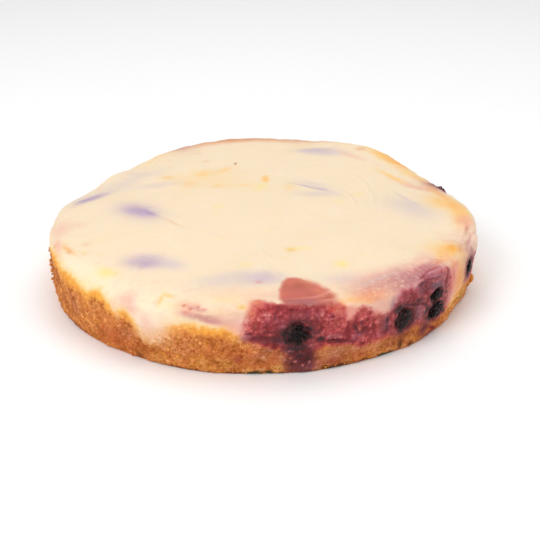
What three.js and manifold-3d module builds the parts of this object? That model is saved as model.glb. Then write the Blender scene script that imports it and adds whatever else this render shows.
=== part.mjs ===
// A round, uncut berry kuchen, about 255 mm across and 43 mm tall: a browned cake base, a cooked berry
// layer that breaks out at the front, a set cream topping that slumps over the rim, and whole dark berries
// that sit in the side. Millimetres, +Z up. It stands on z = 0 about the Z axis, and its berried side faces
// -Y. Angles are degrees anticlockwise from +X, seen from above, so that the front is at -90.

import * as THREE from "three";
import { mergeVertices } from "three/addons/utils/BufferGeometryUtils.js";
import Module from "manifold-3d";

const wasm = await Module();
wasm.setup();

// ---- Driving dimensions

const FOOT_RADIUS = 124.6; // where the side meets the table
const SIDE_SWELL = 3.4; // how far the side stands out past the foot
const SWELL_HEIGHT = 27; // and where it stands out most
const FOOT_BEVEL = 0.9; // crumbled-off bottom edge
const RIM_HEIGHT = 39; // top of the side, before its humps and dips
const CROWN_HEIGHT = 42.5; // middle of the top
const CROWN_FALL = 2.5; // the power by which the top falls from there to the rim
const WAVE_HEIGHTS = [0.5, 0.35]; // of the two sets of long waves in the top
const SHOULDER = 9; // how far in from the side the top starts to round over
const SHOULDER_DROP = 0.55; // how far down it does so, as a share of that
const CRUST_HEIGHT = 12; // least height of the browned base on the side
const CRUST_REACH = 1.5; // most that it climbs past the start of the shoulder
const BASE_INSIDE = 14; // top of the base under the berries
const FILLING_SEAM = 1.4; // least of the berry layer that shows on the side
const FILLING_INSIDE = 22; // top of the berry layer in the middle
const TOPPING_LIP = 1.2; // least topping above the berry layer at the rim
const LEVEL_EDGE = 4; // the layers run level for this far in from the side
const LAYER_RISE = 3; // the power by which they then fall to the middle
const GAP = 0.4; // clearance between two layers, and round a berry

const CRUMB = 0.65; // depth of the crags in the base's side
const CRUSHED_FRUIT = 0.6; // of the lumps in the berry layer's side
const RIPPLE = 0.35; // of the long ripples round the side
const DRUPELET_DEPTH = 0.13; // valleys between a berry's drupelets, as a share of its half width
const DRUPELET_JITTER = 0.03; // and how uneven they are

const COLUMNS = 150; // points round the side
const SIDE_ROWS = { base: 5, filling: 4, topping: 2, shoulder: 4 };
const INNER_RINGS = [0.34, 0.7, 1]; // where the rings between two layers lie, as shares of the way out
const CROWN_RINGS = [0.9, 0.76, 0.58, 0.38, 0.18]; // and those of the top, from the rim in

// ---- Humps and dips round the cake: at which angle, how wide in degrees, and by how many millimetres

const OUTLINE = [
  { at: -148, wide: 16, by: 2 },
  { at: -118, wide: 24, by: 1.6 },
  { at: -88, wide: 9, by: -0.9 },
  { at: 58, wide: 20, by: 1.5 },
  { at: 100, wide: 14, by: 1.5 },
  { at: 146, wide: 18, by: -3.2 },
  { at: 25, wide: 18, by: -1.5 },
  { at: -176, wide: 12, by: -2.6 },
];
const RIM = [
  { at: 57, wide: 14, by: 4.2 },
  { at: 98, wide: 20, by: 2.2 },
  { at: -5, wide: 12, by: 1.5 },
  { at: 160, wide: 13, by: -3 },
  { at: 22, wide: 16, by: -1.8 },
  { at: -125, wide: 22, by: -1.5 },
  { at: -88, wide: 12, by: 2.2 },
  { at: -45, wide: 12, by: 1.8 },
  { at: 136, wide: 9, by: -2.4 },
  { at: 147, wide: 4, by: 1.2 },
];
const SLUMP = [
  { at: 157, wide: 22, by: 14 },
  { at: 25, wide: 20, by: 9 },
  { at: -132, wide: 22, by: 8 },
  { at: 80, wide: 22, by: -3.5 },
  { at: -82, wide: 18, by: -4 },
  { at: -45, wide: 12, by: -2 },
];
const CRUST = [
  { at: -168, wide: 10, by: 19 },
  { at: -144, wide: 14, by: 21.5 },
  { at: -127, wide: 6.5, by: 7 },
  { at: -114, wide: 7, by: 5.5 },
  { at: -101.5, wide: 10, by: 15.5 },
  { at: -62, wide: 13, by: -2 },
  { at: -28, wide: 8, by: 6.5 },
  { at: 5, wide: 14, by: 12 },
  { at: 60, wide: 16, by: 9 },
  { at: 100, wide: 12, by: 14 },
  { at: 140, wide: 16, by: 8 },
];
const FILLING = [
  { at: -124, wide: 6, by: 4 },
  { at: -104, wide: 6, by: 4 },
  { at: -89, wide: 6.5, by: 23 },
  { at: -77, wide: 7, by: 27.5 },
  { at: -66, wide: 6, by: 17 },
  { at: -56, wide: 7, by: 21.5 },
  { at: -42, wide: 8.5, by: 29.5 },
  { at: -21, wide: 8.5, by: 13.5 },
  { at: 33, wide: 10, by: 13 },
  { at: 80, wide: 10, by: 3 },
  { at: 118, wide: 12, by: 9 },
  { at: 165, wide: 10, by: 4 },
];

// The whole berries: where each lies round the side, its height, its half width and half height, how far
// its middle is sunk in from the side, and how far it leans.
const BERRIES = {
  berry_front: { at: -81.7, up: 24, half: [6.6, 6.9], sunk: 4.2, lean: 10 },
  berry_right_front: { at: -54.2, up: 20.2, half: [5.5, 7.2], sunk: 3.6, lean: -14 },
  berry_twin_low: { at: -42.8, up: 16.4, half: [6.2, 5.2], sunk: 3, lean: 30 },
  berry_twin_high: { at: -43.2, up: 26, half: [4.8, 4], sunk: 2.6, lean: 8 },
  berry_right_edge: { at: -24.6, up: 26, half: [5, 5.6], sunk: 3, lean: 20 },
  berry_back_right: { at: 22, up: 29.5, half: [5.4, 5.6], sunk: 3.2, lean: -25 },
  berry_back: { at: 79, up: 24, half: [5.8, 6.4], sunk: 3.8, lean: 15 },
  berry_back_left: { at: 118, up: 27, half: [6.4, 6.6], sunk: 4, lean: -8 },
};

// ---- The cake's form

const radians = THREE.MathUtils.degToRad;

// The sum of some humps and dips at an angle.
function around(humps, angle) {
  return humps.reduce((sum, { at, wide, by }) => {
    const away = THREE.MathUtils.euclideanModulo(angle - at + 180, 360) - 180;
    return sum + by * Math.exp(-((away / wide) ** 2));
  }, 0);
}

const rimHeight = (angle) => RIM_HEIGHT + around(RIM, angle);
const shoulderWidth = (angle) => SHOULDER + around(SLUMP, angle);
const shoulderStart = (angle) => rimHeight(angle) - SHOULDER_DROP * shoulderWidth(angle);

// How far from the axis the side is at a height, up to the rim. Above shoulderStart it rounds inwards.
function sideRadius(angle, height) {
  const start = shoulderStart(angle);
  const swell = 1 - ((Math.min(height, start) - SWELL_HEIGHT) / SWELL_HEIGHT) ** 2;
  const wall = FOOT_RADIUS + around(OUTLINE, angle) + SIDE_SWELL * swell;
  const up = THREE.MathUtils.clamp((height - start) / (rimHeight(angle) - start), 0, 1);
  return wall - shoulderWidth(angle) * (1 - Math.sqrt(1 - up ** 2));
}

// The tops of the base and of the berry layer, where they show at the side.
const crustTop = (angle) =>
  Math.min(CRUST_HEIGHT + around(CRUST, angle), shoulderStart(angle) + CRUST_REACH);
const berryTop = (angle) =>
  Math.min(crustTop(angle) + FILLING_SEAM + around(FILLING, angle), rimHeight(angle) - TOPPING_LIP);

// The top's long, shallow waves.
function waves(x, y) {
  const [long, slanting] = WAVE_HEIGHTS;
  return long * Math.sin(x / 21 + 1.3) * Math.cos(y / 17) + slanting * Math.sin((x - y) / 11);
}

// A number from -1 to 1 that is always the same for the same two whole numbers.
function speckle(a, b) {
  const big = Math.sin(a * 127.1 + b * 311.7) * 43758.5453;
  return 2 * (big - Math.floor(big)) - 1;
}

// ---- Rings of points, and skins over them

// A ring of points round the axis. radius and height are functions of the angle and of the point's number.
function ring(count, radius, height) {
  return Array.from({ length: count }, (_, i) => {
    const angle = (360 * i) / count;
    const r = radius(angle, i);
    const x = r * Math.cos(radians(angle));
    const y = r * Math.sin(radians(angle));
    return new THREE.Vector3(x, y, height(angle, i, x, y));
  });
}

// How many points a ring has at a share of the way out from the middle.
const pointsAt = (share) => Math.round(COLUMNS * share ** 1.6);

// The rings of a surface between two layers, from the middle out: it lies at inside in the middle, meets
// the side at edge(angle), and is shifted by lift.
function layerRings(inside, edge, lift) {
  return INNER_RINGS.map((share) =>
    ring(
      pointsAt(share),
      (angle) => share * (sideRadius(angle, edge(angle)) - LEVEL_EDGE),
      (angle) => inside + (edge(angle) - inside) * share ** LAYER_RISE + lift,
    ),
  );
}

// Rows of points up the side, from one height to another. relief pushes each point in or out.
function sideRings(rows, low, high, relief) {
  return Array.from({ length: rows + 1 }, (_, row) =>
    ring(
      COLUMNS,
      (angle, i) => {
        const height = THREE.MathUtils.lerp(low(angle), high(angle), row / rows);
        return sideRadius(angle, height) + relief(angle, i, row);
      },
      (angle) => THREE.MathUtils.lerp(low(angle), high(angle), row / rows),
    ),
  );
}

// One closed skin over rings that run from the underside's middle, out, up, and in to the top's middle. Two
// skins over the same rings have the same faces, whichever way they run.
function skin(rings) {
  const points = rings.flat();
  const faces = [];
  let first = 0;
  for (let k = 0; k + 1 < rings.length; k += 1) {
    const [lower, upper] = [rings[k].length, rings[k + 1].length];
    const above = first + lower;
    let i = 0;
    let j = 0;
    while (i < lower || j < upper) {
      const ahead = (i + 1) / lower - (j + 1) / upper;
      const a = first + (i % lower);
      const b = above + (j % upper);
      if (ahead < 0 || (ahead === 0 && lower >= upper)) {
        i += 1;
        faces.push(a, first + (i % lower), b);
      } else {
        j += 1;
        faces.push(a, above + (j % upper), b);
      }
    }
    first = above;
  }
  const last = rings[rings.length - 1];
  closeRing(points, faces, 0, rings[0].length, true);
  closeRing(points, faces, first, last.length, false);
  return new THREE.BufferGeometry().setFromPoints(points).setIndex(faces);
}

// A fan of faces from a point in the middle of a ring.
function closeRing(points, faces, first, count, facesDown) {
  const loop = points.slice(first, first + count);
  const height = loop.reduce((sum, point) => sum + point.z, 0) / count;
  const middle = points.length;
  points.push(new THREE.Vector3(0, 0, height));
  loop.forEach((_, i) => {
    const here = first + i;
    const next = first + ((i + 1) % count);
    faces.push(middle, facesDown ? next : here, facesDown ? here : next);
  });
}

// ---- The three layers

// The base: a level foot, cut back to the bevel, and a browned, crumbly side.
function baseGeometry() {
  const footRadius = (angle) => sideRadius(angle, 0) - FOOT_BEVEL;
  const foot = INNER_RINGS.map((share) =>
    ring(
      pointsAt(share),
      (angle) => share * footRadius(angle),
      () => 0,
    ),
  );
  const crumb = (angle, i, row) => CRUMB * speckle(i, row) + RIPPLE * Math.sin(radians(17 * angle) + row);
  const side = sideRings(SIDE_ROWS.base, () => FOOT_BEVEL, crustTop, crumb);
  return skin([...foot, ...side, ...layerRings(BASE_INSIDE, crustTop, 0).reverse()]);
}

// The berry layer: its side lies a little behind the crust and is lumpy with crushed fruit.
function berryLayerGeometry() {
  const low = (angle) => crustTop(angle) + GAP;
  const fruit = (angle, i, row) => CRUSHED_FRUIT * (speckle(i, row + SIDE_ROWS.base) - 1);
  const under = layerRings(BASE_INSIDE, crustTop, GAP);
  const side = sideRings(SIDE_ROWS.filling, low, berryTop, fruit);
  return skin([...under, ...side, ...layerRings(FILLING_INSIDE, berryTop, 0).reverse()]);
}

// The cream topping: its side, the shoulder that rounds over, and the waved top.
function toppingGeometry() {
  const low = (angle) => berryTop(angle) + GAP;
  const start = (angle) => Math.max(shoulderStart(angle), low(angle) + 0.5 * GAP);
  const drape = (angle, i, row) => RIPPLE * speckle(i, row + COLUMNS) * Math.cos(radians(11 * angle));
  const shoulder = Array.from({ length: SIDE_ROWS.shoulder }, (_, row) => {
    const share = Math.sin(radians((90 * (row + 1)) / SIDE_ROWS.shoulder));
    const height = (angle) => THREE.MathUtils.lerp(start(angle), rimHeight(angle), share);
    return ring(COLUMNS, (angle) => sideRadius(angle, height(angle)), height);
  });
  const crown = CROWN_RINGS.map((share) =>
    ring(
      pointsAt(share),
      (angle) => share * sideRadius(angle, rimHeight(angle)),
      (angle, i, x, y) => {
        const smooth = THREE.MathUtils.lerp(CROWN_HEIGHT, rimHeight(angle), share ** CROWN_FALL);
        return smooth + waves(x, y) * (1 - share ** 6);
      },
    ),
  );
  const under = layerRings(FILLING_INSIDE, berryTop, GAP);
  return skin([...under, ...sideRings(SIDE_ROWS.topping, low, start, drape), ...shoulder, ...crown]);
}

// ---- Berries, and the sockets that they sit in

// An even ball of radius 1, its shared points merged.
function ball(detail) {
  const geometry = new THREE.IcosahedronGeometry(1, detail);
  geometry.deleteAttribute("normal");
  geometry.deleteAttribute("uv");
  return mergeVertices(geometry, 1e-4);
}

// A berry: a ball on which every point that a coarser ball has too is the top of a drupelet.
function berryGeometry([across, tall]) {
  const geometry = ball(3);
  const points = geometry.getAttribute("position");
  const tops = ball(1).getAttribute("position");
  const point = new THREE.Vector3();
  const top = new THREE.Vector3();
  for (let i = 0; i < points.count; i += 1) {
    point.fromBufferAttribute(points, i);
    let nearest = Infinity;
    for (let k = 0; k < tops.count; k += 1) {
      nearest = Math.min(nearest, point.distanceTo(top.fromBufferAttribute(tops, k)));
    }
    const valley = nearest < 0.05 ? 0 : DRUPELET_DEPTH;
    point.multiplyScalar(1 - valley - DRUPELET_JITTER * Math.abs(speckle(i, 5)));
    points.setXYZ(i, across * point.x, across * point.y, tall * point.z);
  }
  return geometry;
}

// Sets an object in the cake's side where a berry lies.
function sitInSide(object, { at, up, sunk, lean }) {
  const radius = sideRadius(at, up) - sunk;
  object.position.set(radius * Math.cos(radians(at)), radius * Math.sin(radians(at)), up);
  object.rotation.set(radians(lean), 0, radians(at), "ZYX");
  object.updateMatrixWorld(true);
  return object;
}

// A mesh in the cake's frame as a solid to cut with or to cut.
function solidOf(mesh) {
  const placed = mesh.geometry.clone().applyMatrix4(mesh.matrixWorld);
  const triVerts = new Uint32Array(placed.index.array);
  return new wasm.Manifold(
    new wasm.Mesh({ numProp: 3, vertProperties: placed.getAttribute("position").array, triVerts }),
  );
}

// The geometry of a solid.
function geometryOf(solid) {
  const { vertProperties, triVerts } = solid.getMesh();
  return new THREE.BufferGeometry()
    .setAttribute("position", new THREE.BufferAttribute(vertProperties, 3))
    .setIndex(new THREE.BufferAttribute(triVerts, 1));
}

// The room that one berry takes out of the layers round it.
function socketOf(berry) {
  const [across, tall] = berry.half.map((half) => half + GAP);
  return solidOf(sitInSide(new THREE.Mesh(ball(2).scale(across, across, tall)), berry));
}

// ---- Materials

const finish = (color, roughness) => new THREE.MeshStandardMaterial({ color, roughness, metalness: 0 });
const brownedCrust = finish("#cc7b3c", 0.85);
const cookedBerries = finish("#a84a50", 0.45);
const setCream = finish("#faead0", 0.5);
const darkBerry = finish("#2e2425", 0.5);

// ---- The cake

const kuchen = new THREE.Group();
const sockets = Object.values(BERRIES).map(socketOf);

function addLayer(name, geometry, material) {
  const whole = solidOf(new THREE.Mesh(geometry));
  const cut = sockets.reduce((solid, socket) => solid.subtract(socket), whole);
  const layer = new THREE.Mesh(geometryOf(cut), material);
  layer.name = name;
  kuchen.add(layer);
}

addLayer("cake_base", baseGeometry(), brownedCrust);
addLayer("berry_layer", berryLayerGeometry(), cookedBerries);
addLayer("cream_topping", toppingGeometry(), setCream);

for (const [name, berry] of Object.entries(BERRIES)) {
  const mesh = sitInSide(new THREE.Mesh(berryGeometry(berry.half), darkBerry), berry);
  mesh.name = name;
  kuchen.add(mesh);
}

export default kuchen;
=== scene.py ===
from itertools import product

import bmesh
import bpy
import numpy as np
from mathutils import Matrix, Vector


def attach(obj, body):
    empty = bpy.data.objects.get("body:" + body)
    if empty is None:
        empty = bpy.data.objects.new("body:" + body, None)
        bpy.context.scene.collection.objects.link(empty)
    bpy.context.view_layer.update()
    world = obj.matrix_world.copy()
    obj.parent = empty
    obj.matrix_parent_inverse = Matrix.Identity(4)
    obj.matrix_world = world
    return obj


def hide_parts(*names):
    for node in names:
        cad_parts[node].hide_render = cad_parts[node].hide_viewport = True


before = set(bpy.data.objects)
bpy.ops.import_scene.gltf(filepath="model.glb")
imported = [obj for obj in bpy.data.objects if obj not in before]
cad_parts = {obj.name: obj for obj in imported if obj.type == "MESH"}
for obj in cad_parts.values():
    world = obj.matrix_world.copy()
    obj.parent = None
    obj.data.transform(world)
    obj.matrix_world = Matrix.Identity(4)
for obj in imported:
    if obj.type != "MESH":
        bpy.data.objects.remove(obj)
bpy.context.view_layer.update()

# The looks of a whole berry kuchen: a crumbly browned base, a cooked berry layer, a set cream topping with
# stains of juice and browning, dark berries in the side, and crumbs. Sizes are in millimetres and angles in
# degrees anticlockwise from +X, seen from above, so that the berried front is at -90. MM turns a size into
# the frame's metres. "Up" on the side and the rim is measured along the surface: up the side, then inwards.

MM = 0.001
rng = np.random.default_rng(26)

# ---- The cake's driving dimensions, as in its solids

FOOT_RADIUS = 124.6
SIDE_SWELL = 3.4
SWELL_HEIGHT = 27.0
FOOT_BEVEL = 0.9
BEVEL_HEIGHT = 0.6
RAGGED_HEIGHT = 4.5
RIM_HEIGHT = 39.0
CROWN_HEIGHT = 42.5
CROWN_FALL = 2.5
WAVE_HEIGHTS = (0.5, 0.35)
SHOULDER = 9.0
SHOULDER_DROP = 0.55
CRUST_HEIGHT = 12.0
CRUST_REACH = 1.5
BASE_INSIDE = 14.0
FILLING_SEAM = 1.4
FILLING_INSIDE = 22.0
TOPPING_LIP = 1.2
LEVEL_EDGE = 4.0
LAYER_RISE = 3

# Humps and dips round the cake: at which angle, how wide in degrees, and by how many millimetres.
OUTLINE = [
    (-148, 16, 2), (-118, 24, 1.6), (-88, 9, -0.9), (58, 20, 1.5), (100, 14, 1.5), (146, 18, -3.2),
    (25, 18, -1.5), (-176, 12, -2.6),
]
RIM = [
    (57, 14, 4.2), (98, 20, 2.2), (-5, 12, 1.5), (160, 13, -3), (22, 16, -1.8), (-125, 22, -1.5),
    (-88, 12, 2.2), (-45, 12, 1.8), (136, 9, -2.4), (147, 4, 1.2),
]
SLUMP = [(157, 22, 14), (25, 20, 9), (-132, 22, 8), (80, 22, -3.5), (-82, 18, -4), (-45, 12, -2)]
CRUST = [
    (-168, 10, 19), (-144, 14, 21.5), (-127, 6.5, 7), (-114, 7, 5.5), (-101.5, 10, 15.5), (-62, 13, -2),
    (-28, 8, 6.5), (5, 14, 12), (60, 16, 9), (100, 12, 14), (140, 16, 8),
]
FILLING = [
    (-124, 6, 4), (-104, 6, 4), (-89, 6.5, 23), (-77, 7, 27.5), (-66, 6, 17), (-56, 7, 21.5),
    (-42, 8.5, 29.5), (-21, 8.5, 13.5), (33, 10, 13), (80, 10, 3), (118, 12, 9), (165, 10, 4),
]

# The whole berries: where each lies round the side and how high, its half width and half height, how far it
# is sunk in, how far it leans, and how deeply its outer end has fallen in.
BERRIES = {
    "berry_front": ((-81.7, 24), (6.6, 6.9), 4.2, 10, 0.3),
    "berry_right_front": ((-54.2, 20.2), (5.5, 7.2), 3.6, -14, 0.12),
    "berry_twin_low": ((-42.8, 16.4), (6.2, 5.2), 3, 30, 0.2),
    "berry_twin_high": ((-43.2, 26), (4.8, 4), 2.6, 8, 0.15),
    "berry_right_edge": ((-24.6, 26), (5, 5.6), 3, 20, 0.1),
    "berry_back_right": ((22, 29.5), (5.4, 5.6), 3.2, -25, 0.1),
    "berry_back": ((79, 24), (5.8, 6.4), 3.8, 15, 0.25),
    "berry_back_left": ((118, 27), (6.4, 6.6), 4, -8, 0.25),
}
DEEPEST_SUNK = 4.2
DRUPELETS = 46

# Shares of a berry's radius: how far its drupelets stray, how unevenly they reach, how wide and deep the
# valleys between them are, and how round their tops are.
DRUPELET_STRAY = 0.13
REACH_STRAY = 0.15
VALLEY_WIDE = 0.12
VALLEY_DEPTH = 0.2
DRUPELET_ROUND = 0.14

# How much pale bloom some of them still have, from 0 to 1.
BLOOM = {
    "berry_back_right": 0.68, "berry_right_front": 0.22, "berry_twin_low": 0.12, "berry_twin_high": 0.12,
}

# ---- How fine the meshes are: columns round the cake, and rows on each part. Columns are closest together
# at the front. A hidden ring has a column for each of so many outside, at a share of the way out.

TOPPING_COLUMNS = 840
SIDE_COLUMNS = 1200
ROWS = {"base": 52, "berry layer": 60, "topping side": 26, "shoulder": 18}
ROWS_CROWD_DOWN = 1.15
FINEST_AT = -72.0
CROWDING = 0.55
INNER_RINGS = [(8, 0.2), (4, 0.5), (2, 0.8), (1, 1.0)]
FOOT_RINGS = [(8, 0.2), (4, 0.5), (2, 0.8), (1, 0.99)]

# The top's rows, from the rim inwards: a column for each of so many at the rim, down to which share of the
# way out, and how many rows.
TOP_ROWS = [(1, 0.48, 54), (2, 0.24, 22), (4, 0.12, 10), (8, 0.02, 9)]

# How far the berry layer runs on behind its neighbours, the gaps inside, and how far up the top starts.
SEAM_LAP = 0.9
HIDDEN_GAP = 0.3
TOPPING_GAP = 0.2
TOP_STARTS = 46

# ---- Colours


def paint(code):
    """The linear colour of an sRGB code such as "fbeacd"."""
    srgb = np.array([int(code[i : i + 2], 16) / 255 for i in (0, 2, 4)])
    return np.where(srgb <= 0.04045, srgb / 12.92, ((srgb + 0.055) / 1.055) ** 2.4)


CREAM = paint("f1dcbc")
BRIGHT_CREAM = paint("fbe7c8")
WARM_CREAM = paint("f3d4a2")
IVORY = paint("f8e6d4")
YELLOW = paint("f5dc84")
OCHRE = paint("e6b45c")
APRICOT = paint("f8c070")
ORANGE = paint("ee9c54")
TAN = paint("d39a70")
DARK_TAN = paint("a4694a")
LILAC = paint("b49cba")
DEEP_LILAC = paint("8f78a4")
PALE_LILAC = paint("cfbfc2")
LILAC_PINK = paint("e0a4aa")
LILAC_GREY = paint("ae868c")
BLUE_GREY = paint("74586a")
PEACH = paint("eebc96")
BLUSH = paint("ebb6a2")
PALE_PINK = paint("ea9c8a")
WASHED_ROSE = paint("cb8c80")
PINK = paint("d4645e")
SALMON = paint("e4805e")
CORAL = paint("c06452")
TERRACOTTA = paint("b4583c")
BRIGHT_RED = paint("d6503f")
ROSE = paint("ce5856")
DUSKY_ROSE = paint("a8626a")
MAUVE = paint("a85064")
GRAPE = paint("7c3c50")
DEEP_MAUVE = paint("6a2c34")
BRICK = paint("8c3024")
CRIMSON = paint("a02830")
DARK_RED = paint("6e0c10")
WINE = paint("4c101a")
STAINED_FLESH = paint("420c12")
PLUM = paint("26080e")
GOLD = paint("f8a63c")
BROWN = paint("ec9650")
DARK_BROWN = paint("bc6426")
RED_BROWN = paint("c8642e")
ROSY_BROWN = paint("c87c60")
# Painted shade, laid in the gaps between crumbs and in the hollows of the relief.
GAP_SHADE = paint("964a12")
# Dark umber: spots on the crust, and painted shadow along the foot where the cake meets the floor.
UMBER_AND_FOOT_SHADE = paint("5a2c0a")
# Dark olive: a line in the crust, and painted shadow along the foot where the cake meets the floor.
OLIVE_AND_FOOT_SHADE = paint("2e2c14")
INKY = paint("140b0a")

# ---- Unevenness and patches, by kind

# Each layer of unevenness: by how many millimetres, in lumps how large, and its seed.
UNEVEN = {
    "fine edge": [(0.8, 2.2, 32), (0.45, 1, 33)],
    "baked edge": [(1.3, 7, 11), (1.5, 2.6, 12), (0.8, 1.3, 13)],
    "coral edge": [(0.9, 4, 35), (0.5, 1.5, 34)],
    "halo edge": [(1.3, 2.8, 51), (1, 1.2, 52)],
    "crust": [(0.6, 8, 63), (0.4, 3.6, 64)],
    "flesh": [(0.45, 9, 73), (0.3, 1.7, 74)],
    "drape": [(0.4, 26, 81), (0.14, 8, 82), (0.05, 3, 83)],
    "side drape": [(0.5, 9, 84), (0.18, 3.4, 85)],
    "wrinkles": [(0.4, 4.5, 86), (0.22, 1.9, 87)],
}

# Scattered grains: how far apart, and their seed.
GRAINS = {
    "crumb": (2.4, 61), "small crumb": (1.2, 62), "bead": (4.4, 71), "small bead": (1.9, 72),
    "pinhole": (5.5, 88),
}

# Soft patches: colour, from which unevenness to which, in lumps how large, their seed, and strength.
PATCHES = {
    "cream": [
        (WARM_CREAM, 0.1, 0.9, 30, 89, 0.22),
        (WARM_CREAM, 0.1, 0.9, 7, 90, 0.22),
        (IVORY, 0.2, 0.9, 12, 91, 0.2),
    ],
    "low cream": [(BLUSH, 0.1, 0.9, 6, 97, 0.25), (BRIGHT_CREAM, 0.1, 0.8, 2.6, 98, 0.3)],
    "specked cream": [(TAN, 0.35, 0.9, 1.7, 99, 0.16)],
    "washed cream": [(WASHED_ROSE, 0, 0.8, 2.4, 101, 0.45)],
    "mottled cream": [(BLUSH, 0, 0.8, 3.2, 103, 0.3), (IVORY, 0, 0.7, 1.7, 102, 0.45)],
    "crust": [
        (DARK_BROWN, -0.1, 0.8, 10, 15, 0.35),
        (APRICOT, 0.1, 0.9, 6, 16, 0.3),
        (RED_BROWN, 0.1, 0.8, 4, 17, 0.5),
    ],
    "fruit": [(CRIMSON, 0, 0.6, 6, 45, 0.55), (PINK, 0, 0.5, 4, 46, 0.65)],
    "coral": [(SALMON, -0.4, 0.8, 8, 36, 0.35), (PINK, 0.1, 0.8, 3, 37, 0.4)],
    "berry": [(PLUM, 0, 0.9, 0.5, 92, 0.6)],
    "loose crumb": [(GOLD, -0.3, 0.6, 7, 95, 0.3)],
}

# ---- The stains of juice, fruit and browning, with painted glints and painted shadow among them

# Stains on the top: where (x, y), half length and half width, turn, sharpness of the edge, colour, strength.
TOP_STAINS = [
    ((-38, 46), (26, 12), 12, 3, WARM_CREAM, 0.55),
    ((-22, 30), (24, 10), 0, 2, WARM_CREAM, 0.4),
    ((-88, 46), (24, 10), 45, 2, PALE_LILAC, 0.4),
    ((-66, 35), (13, 4), 0, 2, PALE_LILAC, 0.45),
    ((-74, -9), (15, 9), -48, 2, LILAC, 0.7),
    ((-71, -11), (10, 4.5), -48, 3, LILAC, 0.6),
    ((-66, -14), (6, 1.6), -48, 2, DEEP_LILAC, 0.35),
    ((-51, -28), (10, 0.9), -46, 2, TAN, 0.25),
    ((-62, -74), (12, 7.5), -8, 2.5, LILAC, 0.55),
    ((-62, -77), (8, 3.5), -8, 2, DEEP_LILAC, 0.2),
    ((-48, -79), (8, 5), -20, 2, PALE_LILAC, 0.6),
    ((-106, 20), (13, 5), 56, 2.5, LILAC, 0.8),
    ((-110, 15), (6, 2), 56, 2, DEEP_LILAC, 0.35),
    ((-13, -99), (22, 8.5), 0, 3, PALE_LILAC, 0.5),
    ((2, -99), (10, 6.5), 0, 2, LILAC, 0.35),
    ((-1, -103), (2, 1.5), 0, 2, PINK, 0.3),
    ((36, 96), (13, 5), 0, 2.5, LILAC, 0.5),
    ((42, 90), (14, 7), -10, 2.5, PALE_LILAC, 0.65),
    ((60, 84), (10, 3), -42, 2, BLUSH, 0.5),
    ((67, 96), (3.5, 3), 0, 2, TAN, 0.5),
    ((84, 84), (15, 6), -46, 3, APRICOT, 0.6),
    ((88, 80), (9, 3), -46, 2, ORANGE, 0.35),
    ((86, 50), (13, 2.5), -46, 2, APRICOT, 0.7),
    ((98, 38), (12, 3.5), -30, 2, BLUSH, 0.7),
    ((99, 60), (14, 5), -52, 2.5, APRICOT, 0.55),
    ((31, 30), (12, 6), -30, 2.5, PALE_LILAC, 0.4),
    ((28, 27), (11, 0.9), -34, 2, DEEP_LILAC, 0.35),
    ((37, 23), (5, 1.6), -28, 2, LILAC, 0.5),
    ((35, 15), (14, 5), 5, 2, PALE_LILAC, 0.45),
    ((17, 26), (3, 6), 0, 2, APRICOT, 0.3),
    ((90, -4), (18, 11), -56, 2, PALE_LILAC, 0.55),
    ((88, 14), (12, 1.4), -68, 2, PALE_LILAC, 0.6),
    ((46, -97), (14, 6), 0, 2, PALE_LILAC, 0.5),
    ((109, 8), (13, 8), -80, 2, APRICOT, 0.7),
    ((117, 3), (6, 3), -70, 2.5, ORANGE, 0.8),
    ((119, -24), (8, 5), 80, 2, BLUSH, 0.35),
    ((118, -31), (5, 0.9), 74, 2, CRIMSON, 0.25),
    ((99, -60), (10, 8), 60, 2, APRICOT, 0.5),
    ((108, -58), (6, 5), 60, 2, APRICOT, 0.7),
    ((-61, 46.5), (4, 3), 0, 2, APRICOT, 0.55),
    ((-38.8, 51), (5, 5), 0, 2, APRICOT, 0.45),
    ((-25, 58), (8, 2.6), 50, 2, APRICOT, 0.45),
    ((-46, 34), (4, 6), 0, 2, APRICOT, 0.3),
    ((-28, 29), (4, 3), 0, 2, APRICOT, 0.35),
    ((-11, 29), (6, 1.6), 0, 2, APRICOT, 0.3),
    ((2, 41), (2.6, 6), 0, 3, APRICOT, 0.85),
    ((-1, 26), (3.5, 8), -15, 2, YELLOW, 0.4),
    ((-38, 74), (2.5, 2), 0, 2, TAN, 0.25),
    ((-45, 93), (3, 2), 0, 2, TAN, 0.25),
    ((-18.2, 70), (0.8, 2), 0, 3, DARK_TAN, 0.75),
    ((-26, -5), (3.5, 4), 0, 2, YELLOW, 0.25),
    ((16, -65), (2.6, 2.6), 0, 2, OCHRE, 0.5),
    ((21, -63), (6, 1.6), 5, 2, YELLOW, 0.55),
    ((43, -79.6), (3, 3.4), 0, 2, YELLOW, 0.8),
    ((-8, -83), (3, 3), 0, 2, YELLOW, 0.3),
    ((59, 17), (3, 4), 0, 2, YELLOW, 0.3),
    ((46.5, 4), (3.5, 4), 0, 2, YELLOW, 0.2),
    ((-83, -83), (6, 4), -40, 2, YELLOW, 0.65),
    ((-106, -26), (4, 4), 0, 2, BLUSH, 0.3),
    ((-113, -30), (8, 4), 80, 2, BLUSH, 0.35),
    ((-98, -53), (2.5, 2), 0, 2, TAN, 0.25),
    ((-97, -63), (3, 1.2), -50, 2, OCHRE, 0.3),
]
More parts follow.
